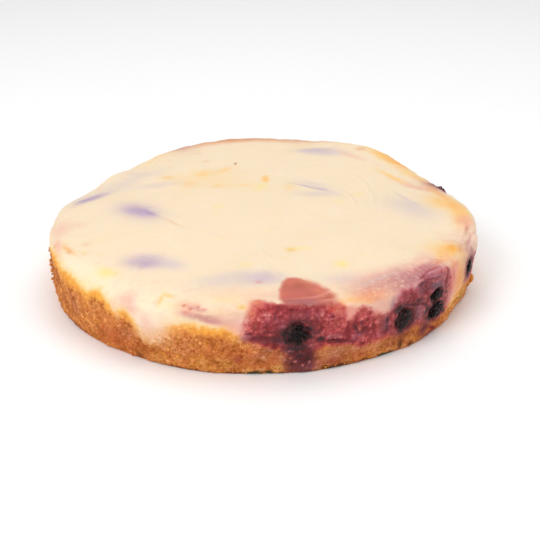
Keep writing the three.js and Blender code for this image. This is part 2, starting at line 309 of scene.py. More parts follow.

# Stains on the side and the rim: at which angle, how far up, half length round the cake, half height, turn,
# sharpness of the edge, colour, strength. The first lie under the browning, the others over it. Some rows
# are painted highlights or painted shadow instead of stains, marked where they stand.
CREAM_STAINS_AND_GLINT = [
    (-137, 41, 30, 8, 0, 3, BRIGHT_CREAM, 0.7),
    (-115, 36, 18, 14, 0, 3, BRIGHT_CREAM, 0.6),
    (-134, 46, 5, 3.5, 0, 2, YELLOW, 0.55),
    (-135, 35.5, 12, 4, 0, 2, YELLOW, 0.22),
    (-152, 44.5, 8, 1.3, 6, 2, ORANGE, 0.55),
    (-150.5, 43.8, 1.8, 0.8, 0, 2, TAN, 0.6),
    (-156, 41, 7, 1.7, -4, 2, BLUSH, 0.9),
    (-156.8, 39, 2, 0.8, -20, 2, TAN, 0.7),
    (-153, 37.5, 5, 2.6, 0, 2, PEACH, 0.7),
    (-166, 42, 12, 5, 0, 2, BLUSH, 0.45),
    (-122.4, 36, 4.6, 6, 0, 2.5, BLUSH, 0.8),
    (-120.4, 31, 3.4, 3.4, 0, 2, BLUSH, 0.85),
    (-114.5, 23, 12, 7, 0, 2.5, IVORY, 0.8),
    (-112, 20, 16, 5, 0, 2, PEACH, 0.7),
    (-114.1, 41, 1.5, 3.4, 10, 2, OCHRE, 0.5),
    (-113, 44.8, 3.6, 1, -6, 2, OCHRE, 0.5),
    (-108, 38, 12, 4, 0, 2, YELLOW, 0.25),
    (-106.6, 39.4, 6.5, 3.4, 0, 2, PALE_PINK, 0.55),
    (-104.4, 38.6, 5, 1.2, -10, 2, WASHED_ROSE, 0.8),
    (-106.8, 36, 2.4, 1, 0, 2, PINK, 0.5),
    (-107.6, 39.6, 0.8, 0.7, 0, 2, BRICK, 0.4),
    (-105.8, 38, 0.7, 0.6, 0, 2, BRICK, 0.5),
    (-104.2, 40.2, 0.6, 0.6, 0, 2, BRICK, 0.4),
    (-102.6, 39, 1.2, 0.5, 20, 2, PINK, 0.5),
    (-104.8, 41.4, 1.6, 0.5, 0, 2, PALE_PINK, 0.6),
    (-103, 33.6, 11, 2.4, -7, 3, WASHED_ROSE, 0.85),
    (-100, 31, 5, 1.3, -6, 2, MAUVE, 0.4),
    (-98.5, 37, 7, 5, 0, 2, PEACH, 0.5),
    (-97, 29.5, 5, 5, 0, 2, BLUSH, 0.7),
    (-95.6, 28, 5, 7, 0, 2, PALE_PINK, 0.6),
    (-116.8, 24, 4, 6, 0, 2, BLUSH, 0.5),
    (-94, 51, 26, 8, 0, 2.5, PEACH, 0.3),
    (-99, 46, 10, 3, 0, 2, YELLOW, 0.2),
    (-88, 49, 10, 5, 0, 2, BLUSH, 0.3),
    (-94.2, 41, 2.2, 1.4, 0, 2, OCHRE, 0.7),
    (-69, 40, 6, 2.4, 0, 2, APRICOT, 0.85),
    # Painted highlight: a whitish glint.
    (-68.6, 38, 2.4, 1.8, 0, 2, IVORY, 0.5),
    (-69, 33.6, 3.4, 4.4, 0, 2.5, PALE_PINK, 0.85),
    (-66, 46, 16, 6, 0, 2, PEACH, 0.5),
    (-63, 41, 10, 5, 0, 2.5, SALMON, 0.6),
    (-64, 38.4, 7, 2.4, 0, 2, ORANGE, 0.3),
    (-61, 33, 5.5, 5, 0, 2.5, PALE_PINK, 0.5),
    (-55, 48, 22, 8, 0, 3, WASHED_ROSE, 0.8),
    (-60, 56, 22, 6, 0, 2, BLUSH, 0.45),
    (-58, 51, 14, 1.2, 4, 2, PALE_LILAC, 0.5),
    (-52.5, 47.5, 7, 3, -10, 2, LILAC_GREY, 0.3),
    (-46, 45, 13, 5, 0, 2.5, PALE_PINK, 0.5),
    (-45, 43, 13, 4, 4, 2.5, DUSKY_ROSE, 0.7),
    (-46, 47, 12, 2, 0, 2, MAUVE, 0.3),
    (-50.6, 42.6, 5, 1.4, 10, 2, LILAC_GREY, 0.5),
    (-52, 41.5, 9, 4.5, 0, 2.5, DUSKY_ROSE, 0.5),
    (-56, 41, 5, 3, 0, 2.5, WASHED_ROSE, 0.5),
    (-42, 52, 12, 4, 0, 2, BLUSH, 0.6),
    (-38.5, 44.2, 5.5, 3, 0, 2.5, SALMON, 0.5),
    (-32, 45.6, 12, 4.6, 4, 3, APRICOT, 0.8),
    (-28.7, 44.6, 4, 2.2, 10, 2.5, GOLD, 0.6),
    (-34.6, 36.6, 5, 3, -12, 2, ORANGE, 0.6),
    (-32, 26, 8, 10, 0, 2.5, ORANGE, 0.75),
    (-34.4, 33, 4.5, 9, 0, 2, PALE_PINK, 0.7),
    (-33.4, 22, 3.6, 6, 0, 2, PALE_PINK, 0.6),
    (-29.6, 33, 5, 6, 0, 2, PEACH, 0.5),
    (-27.6, 20, 5, 6, 0, 2, ORANGE, 0.6),
    (-22, 37, 10, 4, 0, 2.5, IVORY, 0.6),
    (-20, 38, 12, 6, 0, 2.5, BLUSH, 0.2),
    (-27, 41.5, 5, 1, 8, 2, TAN, 0.4),
    (-22.6, 40.6, 4, 0.8, 0, 2, DARK_TAN, 0.25),
    (-17, 43, 7, 0.9, 0, 2, DARK_TAN, 0.3),
    (-17, 46, 10, 3, 0, 2, BLUSH, 0.3),
    (-21, 40, 8, 0.6, 10, 2, MAUVE, 0.3),
    (-16, 39, 6, 0.6, -14, 2, MAUVE, 0.2),
    (-2, 47, 26, 6, 0, 3, APRICOT, 0.8),
    (-10, 45, 8, 5, 0, 2, PALE_PINK, 0.5),
    (14, 46, 16, 3, 0, 2, ORANGE, 0.45),
    (46, 44, 20, 6, 0, 3, APRICOT, 0.8),
    (44, 42, 12, 3, 0, 2, ORANGE, 0.6),
    (75, 43, 24, 3.5, 0, 2, TAN, 0.55),
    (98, 46, 36, 8, 0, 3.5, PEACH, 1),
    (98, 44, 34, 5.5, 0, 3, TAN, 0.85),
    (86, 41.5, 14, 1.2, 0, 2, DARK_TAN, 0.6),
    (110, 41, 20, 1.4, 0, 2, DARK_TAN, 0.45),
    (128, 40, 18, 6, 0, 2, WARM_CREAM, 0.8),
    (148, 38, 10, 5, 0, 2, BRIGHT_CREAM, 0.8),
    (168, 40, 10, 4, 0, 2, PALE_LILAC, 0.5),
]
CRUST_STAINS_AND_FOOT_SHADOW = [
    (-141, 31.5, 12, 3.6, 0, 3, GOLD, 0.75),
    (-131, 31.4, 9, 3, 0, 3, GOLD, 0.75),
    (-141, 16.5, 6, 5, 0, 3, ROSY_BROWN, 0.55),
    (-137.6, 19.5, 1.2, 4, 8, 2, DARK_BROWN, 0.7),
    (-131, 20, 8, 5, 0, 2, ORANGE, 0.35),
    (-125.6, 31.5, 2.6, 6, 8, 2.5, PEACH, 0.85),
    (-124.8, 24, 2.2, 4, 0, 2, PEACH, 0.55),
    (-126, 10, 12, 9, 0, 2.5, RED_BROWN, 0.75),
    (-122.8, 15, 4.4, 4, 0, 2.5, ROSY_BROWN, 0.6),
    (-131, 3, 8, 3, 0, 2, DARK_BROWN, 0.4),
    (-117.6, 7.6, 4.4, 3, 0, 2.5, DARK_BROWN, 0.9),
    (-119.6, 2, 3, 2, 0, 2, UMBER_AND_FOOT_SHADE, 0.5),
    (-114.5, 4, 6, 3, 0, 2, OCHRE, 0.45),
    (-115, 17, 9, 5, 0, 2, PEACH, 0.6),
    (-109, 25, 9, 5, 0, 2, ORANGE, 0.7),
    (-108, 15, 8, 6, 0, 2, ROSY_BROWN, 0.3),
    (-101.8, 25.4, 9, 2.6, 0, 3, GOLD, 0.7),
    (-102, 21.6, 9, 1.6, 0, 3, DARK_BROWN, 0.35),
    (-99, 13, 10, 5, 0, 2, RED_BROWN, 0.35),
    (-106.6, 7.6, 3, 3, 0, 2, DARK_BROWN, 0.6),
    (-103.6, 6, 4, 3, 0, 2, OCHRE, 0.4),
    (-98.6, 6, 5, 3.4, 0, 2, OCHRE, 0.45),
    (-95.4, 9.4, 2.2, 2.2, 0, 2, BRICK, 0.45),
    (-92.6, 15, 4, 4, 0, 2, RED_BROWN, 0.5),
    (-94.6, 18, 3, 2, 0, 2, ORANGE, 0.5),
    (-90.5, 8, 6, 4, 0, 2, RED_BROWN, 0.6),
    (-79, 9, 32, 7, 0, 3, ROSY_BROWN, 0.45),
    (-67, 9.4, 14, 5, 0, 3, BLUSH, 0.5),
    (-87.6, 9.4, 4.4, 6, 0, 2.5, RED_BROWN, 0.5),
    (-89.4, 12.6, 5, 2.6, 0, 2, ROSY_BROWN, 0.6),
    (-89.4, 11, 1.8, 0.7, 0, 2.5, PEACH, 0.8),
    (-89.2, 9.4, 1.6, 0.6, 0, 2.5, PEACH, 0.6),
    (-85.1, 13.6, 0.9, 5, 0, 2, BLUSH, 0.6),
    (-85.8, 4.6, 3.6, 1.8, 0, 2, OCHRE, 0.8),
    (-76.4, 12, 4, 1.8, 0, 2, ORANGE, 0.6),
    (-73, 5, 8, 3, 0, 2, BRICK, 0.45),
    (-70, 10, 9, 3.6, 0, 2, ROSY_BROWN, 0.7),
    (-66, 7, 8, 4, 0, 2, RED_BROWN, 0.55),
    (-58, 7, 8, 4, 0, 2, ROSY_BROWN, 0.4),
    (-53.6, 11, 5.4, 3, 0, 2.5, ROSY_BROWN, 0.9),
    (-54.2, 4.4, 1.5, 2.6, 0, 2.5, UMBER_AND_FOOT_SHADE, 0.8),
    (-51, 2.2, 1.8, 1.6, 0, 2, UMBER_AND_FOOT_SHADE, 0.75),
    (-48.8, 6.6, 2.6, 2.4, 0, 2, DARK_BROWN, 0.7),
    (-38.6, 7, 4, 3, 0, 2, GOLD, 0.4),
    (-33, 12.6, 9, 4.4, -6, 2.5, APRICOT, 0.75),
    (-32.6, 15.6, 5, 1, -16, 2, DARK_BROWN, 0.4),
    (-26, 11, 8, 3.4, 0, 2.5, OCHRE, 0.85),
    (-26, 7, 8, 2, 0, 2, OCHRE, 0.6),
    (-27.5, 9, 2.6, 0.7, -24, 2, OLIVE_AND_FOOT_SHADE, 0.45),
    # From here on, the dark olive and umber strips lowest on the foot are painted shadow where the cake meets
    # the floor; the pale ones between them are crumb flecks.
    (-96, 0.5, 5, 0.7, 0, 3, UMBER_AND_FOOT_SHADE, 0.7),
    (-91.6, 0.8, 4.4, 1.1, 6, 3, OLIVE_AND_FOOT_SHADE, 0.85),
    (-88, 1, 2.4, 1, -8, 3, OLIVE_AND_FOOT_SHADE, 0.8),
    (-85.2, 0.6, 2, 0.8, 0, 2, OLIVE_AND_FOOT_SHADE, 0.75),
    (-93.4, 2.6, 2.6, 0.6, 8, 2.5, PEACH, 0.8),
    (-89.8, 3, 2.2, 0.6, -6, 2.5, PEACH, 0.8),
    (-86.4, 2.4, 1.4, 0.6, 0, 2.5, PEACH, 0.7),
    (-79, 0.7, 6, 1.1, 0, 3, UMBER_AND_FOOT_SHADE, 0.7),
    (-72.3, 1.1, 8.6, 1.5, 0, 3, UMBER_AND_FOOT_SHADE, 0.95),
    (-64.6, 0.7, 5, 1, 0, 2, UMBER_AND_FOOT_SHADE, 0.6),
    (-58.4, 0.8, 5.6, 1, 3, 3, OLIVE_AND_FOOT_SHADE, 0.85),
    (-145, 1.4, 12, 1.6, 0, 2, UMBER_AND_FOOT_SHADE, 0.4),
    (-97.6, 2.4, 1.6, 0.7, 0, 2.5, PEACH, 0.7),
    (-95.4, 1.8, 1.2, 0.6, 20, 2.5, PEACH, 0.8),
    (-74.6, 3.4, 1.6, 0.7, 0, 2.5, PEACH, 0.6),
    (-69.4, 3.6, 2.2, 0.7, 8, 2.5, PEACH, 0.6),
    (-61.6, 2.6, 2, 0.7, 0, 2.5, PEACH, 0.6),
    (-103, 1.8, 1.6, 0.6, 0, 2.5, PEACH, 0.6),
    (-108, 0.7, 18, 0.9, 0, 3, UMBER_AND_FOOT_SHADE, 0.45),
]
FRUIT_STAINS_AND_GLINTS = [
    (-90.2, 42.6, 4.5, 2.4, -22, 2, SALMON, 0.8),
    (-91.6, 37, 3, 5, 0, 2, SALMON, 0.7),
    (-94.6, 30, 3.4, 7, 0, 2, BLUSH, 0.7),
    (-94.2, 32.6, 1, 1.6, 0, 2, IVORY, 0.5),
    (-91.3, 29.2, 1.4, 2.8, 0, 2.5, BRICK, 0.8),
    # Painted highlight: a streak of pale glints on the wet fruit.
    (-88.8, 35.7, 3.2, 0.8, 4, 2, PALE_PINK, 0.85),
    (-88, 33.6, 0.6, 1.6, 10, 2, PALE_PINK, 0.6),
    (-86.4, 38.6, 3.8, 2.4, -10, 3, CRIMSON, 0.7),
    (-88.4, 40.4, 2, 1.2, -20, 2, CRIMSON, 0.6),
    (-86.9, 38.4, 0.5, 1.6, 10, 2, PALE_PINK, 0.5),
    (-85.6, 36.6, 0.5, 1.4, -10, 2, PALE_PINK, 0.5),
    (-86.8, 34.2, 0.7, 2, -20, 2, WINE, 0.6),
    (-88.2, 30.6, 4.5, 3.4, 0, 2, MAUVE, 0.4),
    (-85.4, 29.4, 3, 4, 0, 2.5, MAUVE, 0.7),
    (-80.2, 36, 10, 2.6, 0, 3, MAUVE, 0.5),
    (-80, 39.6, 9, 1, 0, 2, CRIMSON, 0.5),
    (-82.6, 35.4, 0.7, 2.4, -8, 2, PALE_PINK, 0.4),
    (-80.8, 35, 0.6, 2, 0, 2, PALE_PINK, 0.4),
    (-79.3, 33, 0.9, 3.2, 8, 2, GRAPE, 0.6),
    (-78.3, 34.2, 0.7, 3, 6, 2, PALE_PINK, 0.6),
    (-77.2, 31.6, 0.9, 3, 4, 2, GRAPE, 0.5),
    (-76, 34.6, 1.6, 0.8, 40, 2, PALE_PINK, 0.6),
    (-73.2, 37, 5.6, 2.8, -14, 3, BRIGHT_RED, 0.75),
    (-71.8, 36, 3, 4.4, 0, 2.5, SALMON, 0.75),
    (-72, 33, 3, 4, 0, 2, PINK, 0.5),
    (-73.8, 32.7, 1, 0.9, 0, 2.5, DARK_RED, 0.9),
    (-72.2, 29.6, 1.4, 1, 0, 2.5, BRICK, 0.6),
    # Painted highlights: pale glints on the wet fruit, in the next four rows.
    (-75, 31.4, 0.8, 0.8, 0, 2.5, PALE_PINK, 0.7),
    (-72.8, 35, 1, 0.6, 0, 2.5, PALE_PINK, 0.6),
    (-90.4, 33, 1, 0.8, 0, 2.5, PALE_PINK, 0.8),
    (-89.6, 26.6, 1.2, 0.7, 0, 2.5, PALE_PINK, 0.6),
    (-87.6, 32, 1, 1, 0, 2.5, CRIMSON, 0.7),
    # Painted highlight: a pale glint on the wet fruit.
    (-84, 34.2, 1.2, 0.8, 0, 2.5, PALE_PINK, 0.5),
    (-75.8, 29.6, 1.2, 1.3, 0, 2, BRICK, 0.6),
    (-73, 28, 1, 2.8, 6, 2, BRICK, 0.7),
    (-74.4, 26, 0.6, 2.4, -8, 2, PALE_PINK, 0.4),
    (-70.8, 28.5, 2.4, 5, 0, 2, PINK, 0.6),
    (-72.8, 22.7, 1.6, 0.9, 0, 2, CRIMSON, 0.6),
    (-72.8, 20.6, 4.6, 1.5, -8, 2.5, DUSKY_ROSE, 0.8),
    (-76.8, 24.8, 1.4, 1, 0, 2, WINE, 0.7),
    (-76.3, 20.2, 1.9, 1.5, -10, 3, PLUM, 0.95),
    (-72.6, 17.6, 6.2, 1.1, -12, 2.5, WINE, 0.95),
    (-68.6, 16, 3.6, 1, -8, 2, GRAPE, 0.7),
    (-89.6, 21.8, 7.5, 2.4, -4, 3, DEEP_MAUVE, 0.8),
    (-86.2, 21.4, 3, 2, 0, 2.5, WINE, 0.85),
    (-87.6, 25.8, 4, 0.6, -6, 2, WINE, 0.6),
    (-92.6, 25, 1.7, 0.7, 4, 2, WINE, 0.7),
    (-93.4, 22.4, 3, 2, 0, 2, DUSKY_ROSE, 0.7),
    (-88.6, 18.4, 1.4, 1, 0, 2.5, DARK_RED, 0.85),
    (-86.9, 17.5, 1.6, 2.1, 0, 2.5, DARK_RED, 0.95),
    (-88.3, 15.4, 3.2, 2, 0, 2, DUSKY_ROSE, 0.5),
    (-91, 17.6, 4.4, 2, 0, 2, PALE_PINK, 0.4),
    (-69.3, 30, 2, 7, 4, 2.5, PALE_PINK, 0.85),
    # Painted highlight: a whitish glint.
    (-69.6, 38.6, 2.2, 1.4, 0, 2, IVORY, 0.4),
    (-66.2, 30.6, 4.4, 4.2, 0, 3, ROSE, 0.5),
    (-65, 26.8, 1.6, 1.2, 20, 2.5, DARK_RED, 0.7),
    (-66.4, 25.4, 1, 1.4, 0, 2.5, WINE, 0.6),
    # Painted highlights: pale glints on the wet fruit, in the next three rows.
    (-64.2, 23.2, 1, 1, 0, 2.5, PALE_PINK, 0.8),
    (-66.6, 28.4, 0.8, 0.8, 0, 2.5, PALE_PINK, 0.7),
    (-62.6, 24, 0.7, 1, 0, 2.5, PALE_PINK, 0.6),
    (-64.6, 20.2, 1.6, 1, 0, 2.5, DARK_RED, 0.6),
    (-66.4, 33, 1.6, 1.2, 0, 2, BRICK, 0.4),
    (-67.6, 30.6, 1.1, 1.8, 0, 2, BRICK, 0.45),
    (-65.6, 29.4, 0.6, 2.2, 0, 2, PALE_PINK, 0.4),
    (-67.7, 23, 0.5, 2.2, 16, 2, PLUM, 0.85),
    (-67, 22.6, 0.45, 2, 16, 2, PALE_PINK, 0.85),
    (-68.4, 24, 0.5, 1.6, 10, 2, WINE, 0.8),
    (-65.8, 21.8, 1.9, 1.4, 8, 2.5, DARK_RED, 0.95),
    (-66.8, 20, 2.8, 1.2, 0, 2, WINE, 0.6),
    (-63.8, 25.6, 3, 2, 0, 2, CRIMSON, 0.4),
    (-62.2, 26.6, 2.2, 1.2, 10, 2, BRICK, 0.8),
    (-60.8, 24.4, 1.2, 2, 0, 2, BRICK, 0.7),
    (-61.8, 21.6, 2.4, 1.3, 0, 2, RED_BROWN, 0.55),
    # Painted highlight: a pale glint on the wet fruit.
    (-63.4, 18.7, 1.1, 1.1, 0, 2.5, PALE_PINK, 0.9),
    (-61.8, 18.2, 2.2, 1.8, 0, 2, PINK, 0.5),
    (-68, 18.6, 4.4, 1.6, 0, 2.5, MAUVE, 0.7),
    (-66, 13, 2.2, 1.3, 0, 2, DARK_RED, 0.7),
    (-63, 14.4, 6, 2.4, 0, 2, ROSE, 0.5),
    (-61, 33.5, 5, 4.6, 0, 2.5, BLUSH, 0.75),
    (-59.4, 30, 2, 2, 0, 2, BLUSH, 0.7),
    (-63, 29.4, 2.4, 2.4, 0, 2, PALE_PINK, 0.7),
    (-58.2, 31.5, 1.7, 3.4, 0, 2, LILAC_GREY, 0.75),
    (-55.4, 35, 5.4, 3, 6, 3, MAUVE, 0.5),
    (-54.4, 34.2, 2.6, 1.6, -10, 2, CRIMSON, 0.75),
    (-54, 38.6, 4, 0.9, -10, 2, LILAC_PINK, 0.6),
    (-57.6, 37.2, 2, 0.7, 30, 2, PALE_PINK, 0.6),
    (-51.6, 36, 1.6, 4, -28, 2, LILAC_PINK, 0.75),
    (-50.4, 32, 0.8, 2.6, -20, 2, LILAC_PINK, 0.6),
    (-56.6, 30.8, 3, 1.2, 0, 2, GRAPE, 0.4),
    (-51.5, 26.8, 5, 0.5, -20, 2, PLUM, 0.85),
    (-47.4, 23.6, 3, 0.6, -28, 2, PLUM, 0.85),
    (-51.2, 28.4, 4.4, 0.6, -20, 2, LILAC_PINK, 0.6),
    (-49.6, 28, 3.6, 1.7, -14, 3, WINE, 0.85),
    (-47, 26, 1.3, 1.2, 0, 2, CRIMSON, 0.8),
    (-49.2, 37.2, 2.9, 1.3, 14, 2.5, WINE, 0.8),
    (-46.5, 38.4, 6, 2, 10, 2, GRAPE, 0.7),
    (-48.2, 33, 5, 3, -8, 2.5, GRAPE, 0.8),
    (-44, 32.6, 5, 2.3, -12, 2.5, BLUE_GREY, 0.9),
    (-43, 37.6, 6, 1.8, -8, 2, DUSKY_ROSE, 0.8),
    (-50, 39.6, 3, 0.6, 12, 2, LILAC_PINK, 0.7),
    (-44.6, 35.4, 4.4, 0.5, -14, 2, LILAC_PINK, 0.6),
    (-46.8, 36.2, 4, 0.5, -20, 2, WINE, 0.5),
    (-45, 38.6, 6, 0.5, -8, 2, LILAC_PINK, 0.6),
    (-44, 41, 6, 0.6, -6, 2, LILAC_PINK, 0.6),
    (-43.6, 42.6, 6, 0.6, -4, 2, CRIMSON, 0.45),
    (-47.6, 41.4, 4, 0.6, 14, 2, WINE, 0.45),
    (-40.4, 42, 3, 0.7, -20, 2, LILAC_PINK, 0.6),
    (-39, 38.6, 0.7, 3, 20, 2, LILAC_PINK, 0.55),
    (-38, 36, 0.7, 3.4, 10, 2, WINE, 0.45),
    (-36.4, 33, 0.7, 4, 10, 2, PALE_PINK, 0.7),
    (-35.2, 31, 0.6, 4, 10, 2, CRIMSON, 0.4),
    (-44.6, 37.4, 6, 0.5, -10, 2, WINE, 0.5),
    (-41.6, 40.2, 5, 0.5, 8, 2, LILAC_PINK, 0.6),
    (-39.4, 37, 3.4, 3, 0, 2, ROSE, 0.5),
    (-48.6, 20.4, 4, 4.4, 0, 2.5, DUSKY_ROSE, 0.8),
    (-51.7, 20, 1.6, 5, 8, 2.5, PLUM, 0.7),
    (-50, 21, 1.6, 4.4, 8, 2, BLUE_GREY, 0.6),
    (-39.4, 27.6, 2.4, 3, 0, 2, MAUVE, 0.5),
    (-38.6, 23.8, 2.2, 0.7, -24, 2, WINE, 0.7),
    (-37.6, 31.4, 2, 0.7, -20, 2, CRIMSON, 0.6),
    (-37.2, 24.6, 1.4, 1.4, 0, 2, BRICK, 0.5),
    (-37, 19, 3.6, 8, 0, 2, PALE_PINK, 0.45),
    (-36, 29, 4, 9, 0, 2, PINK, 0.3),
    (-32.2, 24, 3.6, 8, 0, 2, ORANGE, 0.5),
    (-27, 27, 2.4, 4.4, -10, 3, PLUM, 0.9),
    (-25.8, 29.6, 3, 1.4, -22, 3, PLUM, 0.7),
    (-25, 23.4, 3, 2.6, -30, 3, PLUM, 0.85),
    (-21, 24.6, 4, 3.6, -20, 3, PLUM, 0.85),
]
JUICE_STAINS_AND_GLINTS = [
    (-80.6, 6.5, 8.4, 9.6, 0, 5, DEEP_MAUVE, 0.9),
    (-79.8, 10.6, 4, 4, 0, 3, WINE, 0.8),
    (-81.8, 15.4, 5.6, 3, 0, 3, PLUM, 0.85),
    (-81.8, 31.2, 5, 1.6, 0, 2.5, WINE, 0.7),
    (-78.4, 26, 1.4, 3.2, 16, 2.5, WINE, 0.6),
    (-85.4, 25, 1.6, 2, 0, 2.5, WINE, 0.6),
    # Painted highlights: pale glints on the dark ring round the front berry and on the juice below it, in the
    # next four rows.
    (-84.8, 29.4, 1.2, 0.6, 30, 3, LILAC_PINK, 0.8),
    (-80.4, 31, 1.2, 0.5, -20, 3, LILAC_PINK, 0.75),
    (-83.4, 14.4, 1.6, 0.6, 34, 3, LILAC_PINK, 0.95),
    (-80.9, 13.4, 0.6, 0.9, 0, 3, PALE_PINK, 0.95),
    (-79.2, 13.6, 1.8, 1, -30, 3, DARK_RED, 0.9),
    (-82, 12, 1.4, 0.8, 20, 3, DARK_RED, 0.7),
    (-81.2, 10.8, 1.6, 0.8, 0, 2.5, PLUM, 0.8),
    (-79, 8.4, 1.2, 0.8, 20, 2.5, PLUM, 0.6),
    (-82.8, 5.6, 1.2, 0.9, 0, 2.5, PLUM, 0.5),
    # Painted highlights: small pale glints on the wet juice, in the next six rows.
    (-84.2, 12.4, 0.7, 0.9, 0, 3, BLUSH, 0.8),
    (-84.4, 9, 0.6, 0.8, 0, 3, BLUSH, 0.6),
    (-77.4, 10, 0.6, 0.9, 0, 3, PALE_PINK, 0.8),
    (-83, 9.6, 0.8, 0.6, 0, 3, PALE_PINK, 0.8),
    (-80.2, 4.8, 0.7, 0.7, 0, 3, PALE_PINK, 0.8),
    (-76.6, 6, 0.7, 0.6, 0, 3, PALE_PINK, 0.7),
    (-76.8, 3.4, 2.6, 3.6, 0, 2, ROSY_BROWN, 0.7),
    # Painted highlights: more pale glints on the juice and beside the front berry, in the next six rows.
    (-82.6, 13.7, 1, 0.6, 30, 3, BLUSH, 0.9),
    (-82, 7.4, 0.9, 0.8, 0, 3, PALE_PINK, 0.8),
    (-78.7, 6.6, 0.6, 1.1, 0, 3, PALE_PINK, 0.8),
    (-80.2, 12.2, 0.8, 0.5, 0, 3, PALE_PINK, 0.6),
    (-78.4, 17, 2, 0.8, 20, 3, PALE_PINK, 0.9),
    (-78.3, 22.8, 0.7, 2, 0, 3, LILAC_PINK, 0.95),
    (-77.8, 21.4, 1.1, 0.8, 0, 2.5, CRIMSON, 0.9),
    (-76.4, 2.4, 1.2, 2.2, -20, 2, ROSY_BROWN, 0.8),
    (-46.4, 8, 4, 4.4, -20, 2.5, DEEP_MAUVE, 0.8),
    (-42.2, 4.2, 3.4, 0.9, -30, 2, DARK_RED, 0.85),
    (-43, 1.4, 8, 1.8, 0, 2, DEEP_MAUVE, 0.6),
    (-46.6, 19.6, 2.6, 1.1, 40, 2.5, PLUM, 0.9),
    (-39.2, 13, 2.6, 1.1, -40, 2.5, PLUM, 0.9),
    (-45.6, 14.6, 2, 1.2, 10, 2.5, PLUM, 0.8),
    (-45.4, 28, 1.6, 0.8, 10, 2.5, PLUM, 0.8),
    (-41.6, 29.4, 1.4, 0.9, -30, 2.5, PLUM, 0.8),
    (-43, 11.8, 3, 1, 0, 2.5, PLUM, 0.8),
    (-59.6, 23.4, 1.1, 2.2, 0, 2.5, PLUM, 0.8),
    (-59.3, 18.6, 1.2, 2.6, 0, 2, WINE, 0.8),
    (-58.9, 21.4, 0.5, 2.2, 0, 2.5, LILAC_PINK, 0.8),
    (-60.2, 20.6, 2.6, 5, 0, 2, GRAPE, 0.6),
    (-56, 27.6, 3.8, 1.9, 8, 3, PLUM, 0.9),
    (30, 13, 12, 5, 0, 2, DEEP_MAUVE, 0.5),
    (116, 18, 12, 5, 0, 2, DEEP_MAUVE, 0.5),
    (79, 15, 7, 5, 0, 2, DEEP_MAUVE, 0.5),
]

# How far up the browning reaches over the front half, by angle.
BAKED_LINE = [
    (-160, 34), (-155, 36), (-152, 36.5), (-149, 35.4), (-145.3, 34.5), (-142.8, 34.5), (-140.4, 33.5),
    (-137.5, 31.5), (-135.1, 29.5), (-133.2, 33.4), (-131.5, 35), (-129, 32), (-128.1, 29.5), (-126.3, 26.5),
    (-124.5, 27), (-123.1, 28.6), (-121.6, 27.6), (-120.1, 25), (-119.4, 22), (-118.5, 19), (-116.5, 18.6),
    (-112.6, 21.6), (-109.3, 27), (-106, 28), (-98.4, 27.4), (-97, 25.4), (-95, 25), (-93, 23), (-90, 22),
    (-87, 21), (-84, 18), (-80, 18), (-76, 20), (-72, 19), (-68, 18), (-60, 16), (-52, 16), (-48, 15),
    (-44, 13), (-40, 13), (-36, 14.5), (-33, 16.5), (-29, 17), (-20, 16),
]

# Where the golden fringe above the brown is wider than elsewhere.
WIDE_FRINGE = [(-138, 12, 5), (-102, 6, 2), (-115, 5, 5)]

# Where the topping hangs down over the crust as a pale haze, and how wide in degrees.
HAZE_AT = -115
HAZE_WIDE = 5

# The front half, whose edges are drawn, fades in and out at the left and the right.
FRONT_FADES_IN = (-168, -158)
FRONT_FADES_OUT = (-20, -30)

# The edge of the fruit that shows at the front, as angle and way up, and where that edge is softest.
FRUIT_EDGE = [
    (-93.6, 25), (-93.2, 31), (-92.2, 36), (-91.6, 42), (-90.4, 44.4), (-88.5, 43.4), (-86, 42), (-84, 41.6),
    (-79, 41.4), (-74, 41), (-72.4, 39), (-71, 36), (-70.4, 32), (-69.8, 30), (-69, 30.5), (-68, 32.4),
    (-66.4, 34), (-64.2, 32.6), (-63.4, 29), (-61.6, 27.4), (-60, 27), (-58, 28.6), (-56.6, 33),
    (-55.3, 37.6), (-52.9, 37.4), (-51.6, 35), (-50.6, 35.6), (-49.4, 38), (-46, 39.4), (-42, 39.6),
    (-39.4, 38), (-37.8, 35), (-36.8, 30), (-36.8, 22), (-37.8, 13), (-41, 10), (-46, 12), (-50, 14),
    (-54, 12.6),
    (-58, 12.5), (-62, 12.4), (-66, 12), (-70, 14.2), (-75, 16), (-78, 13), (-80, 11), (-84, 12), (-86, 16.5),
    (-90, 18.5), (-93, 21),
]
FRUIT_SPAN = (-110, -25)
SOFT_EDGES = [(-95, 3.6, 2.8), (-89, 3, 0.4), (-70, 2.5, 0.8), (-62, 5, 1.6), (-47, 8, 2.4), (-36.5, 3.5, 3)]

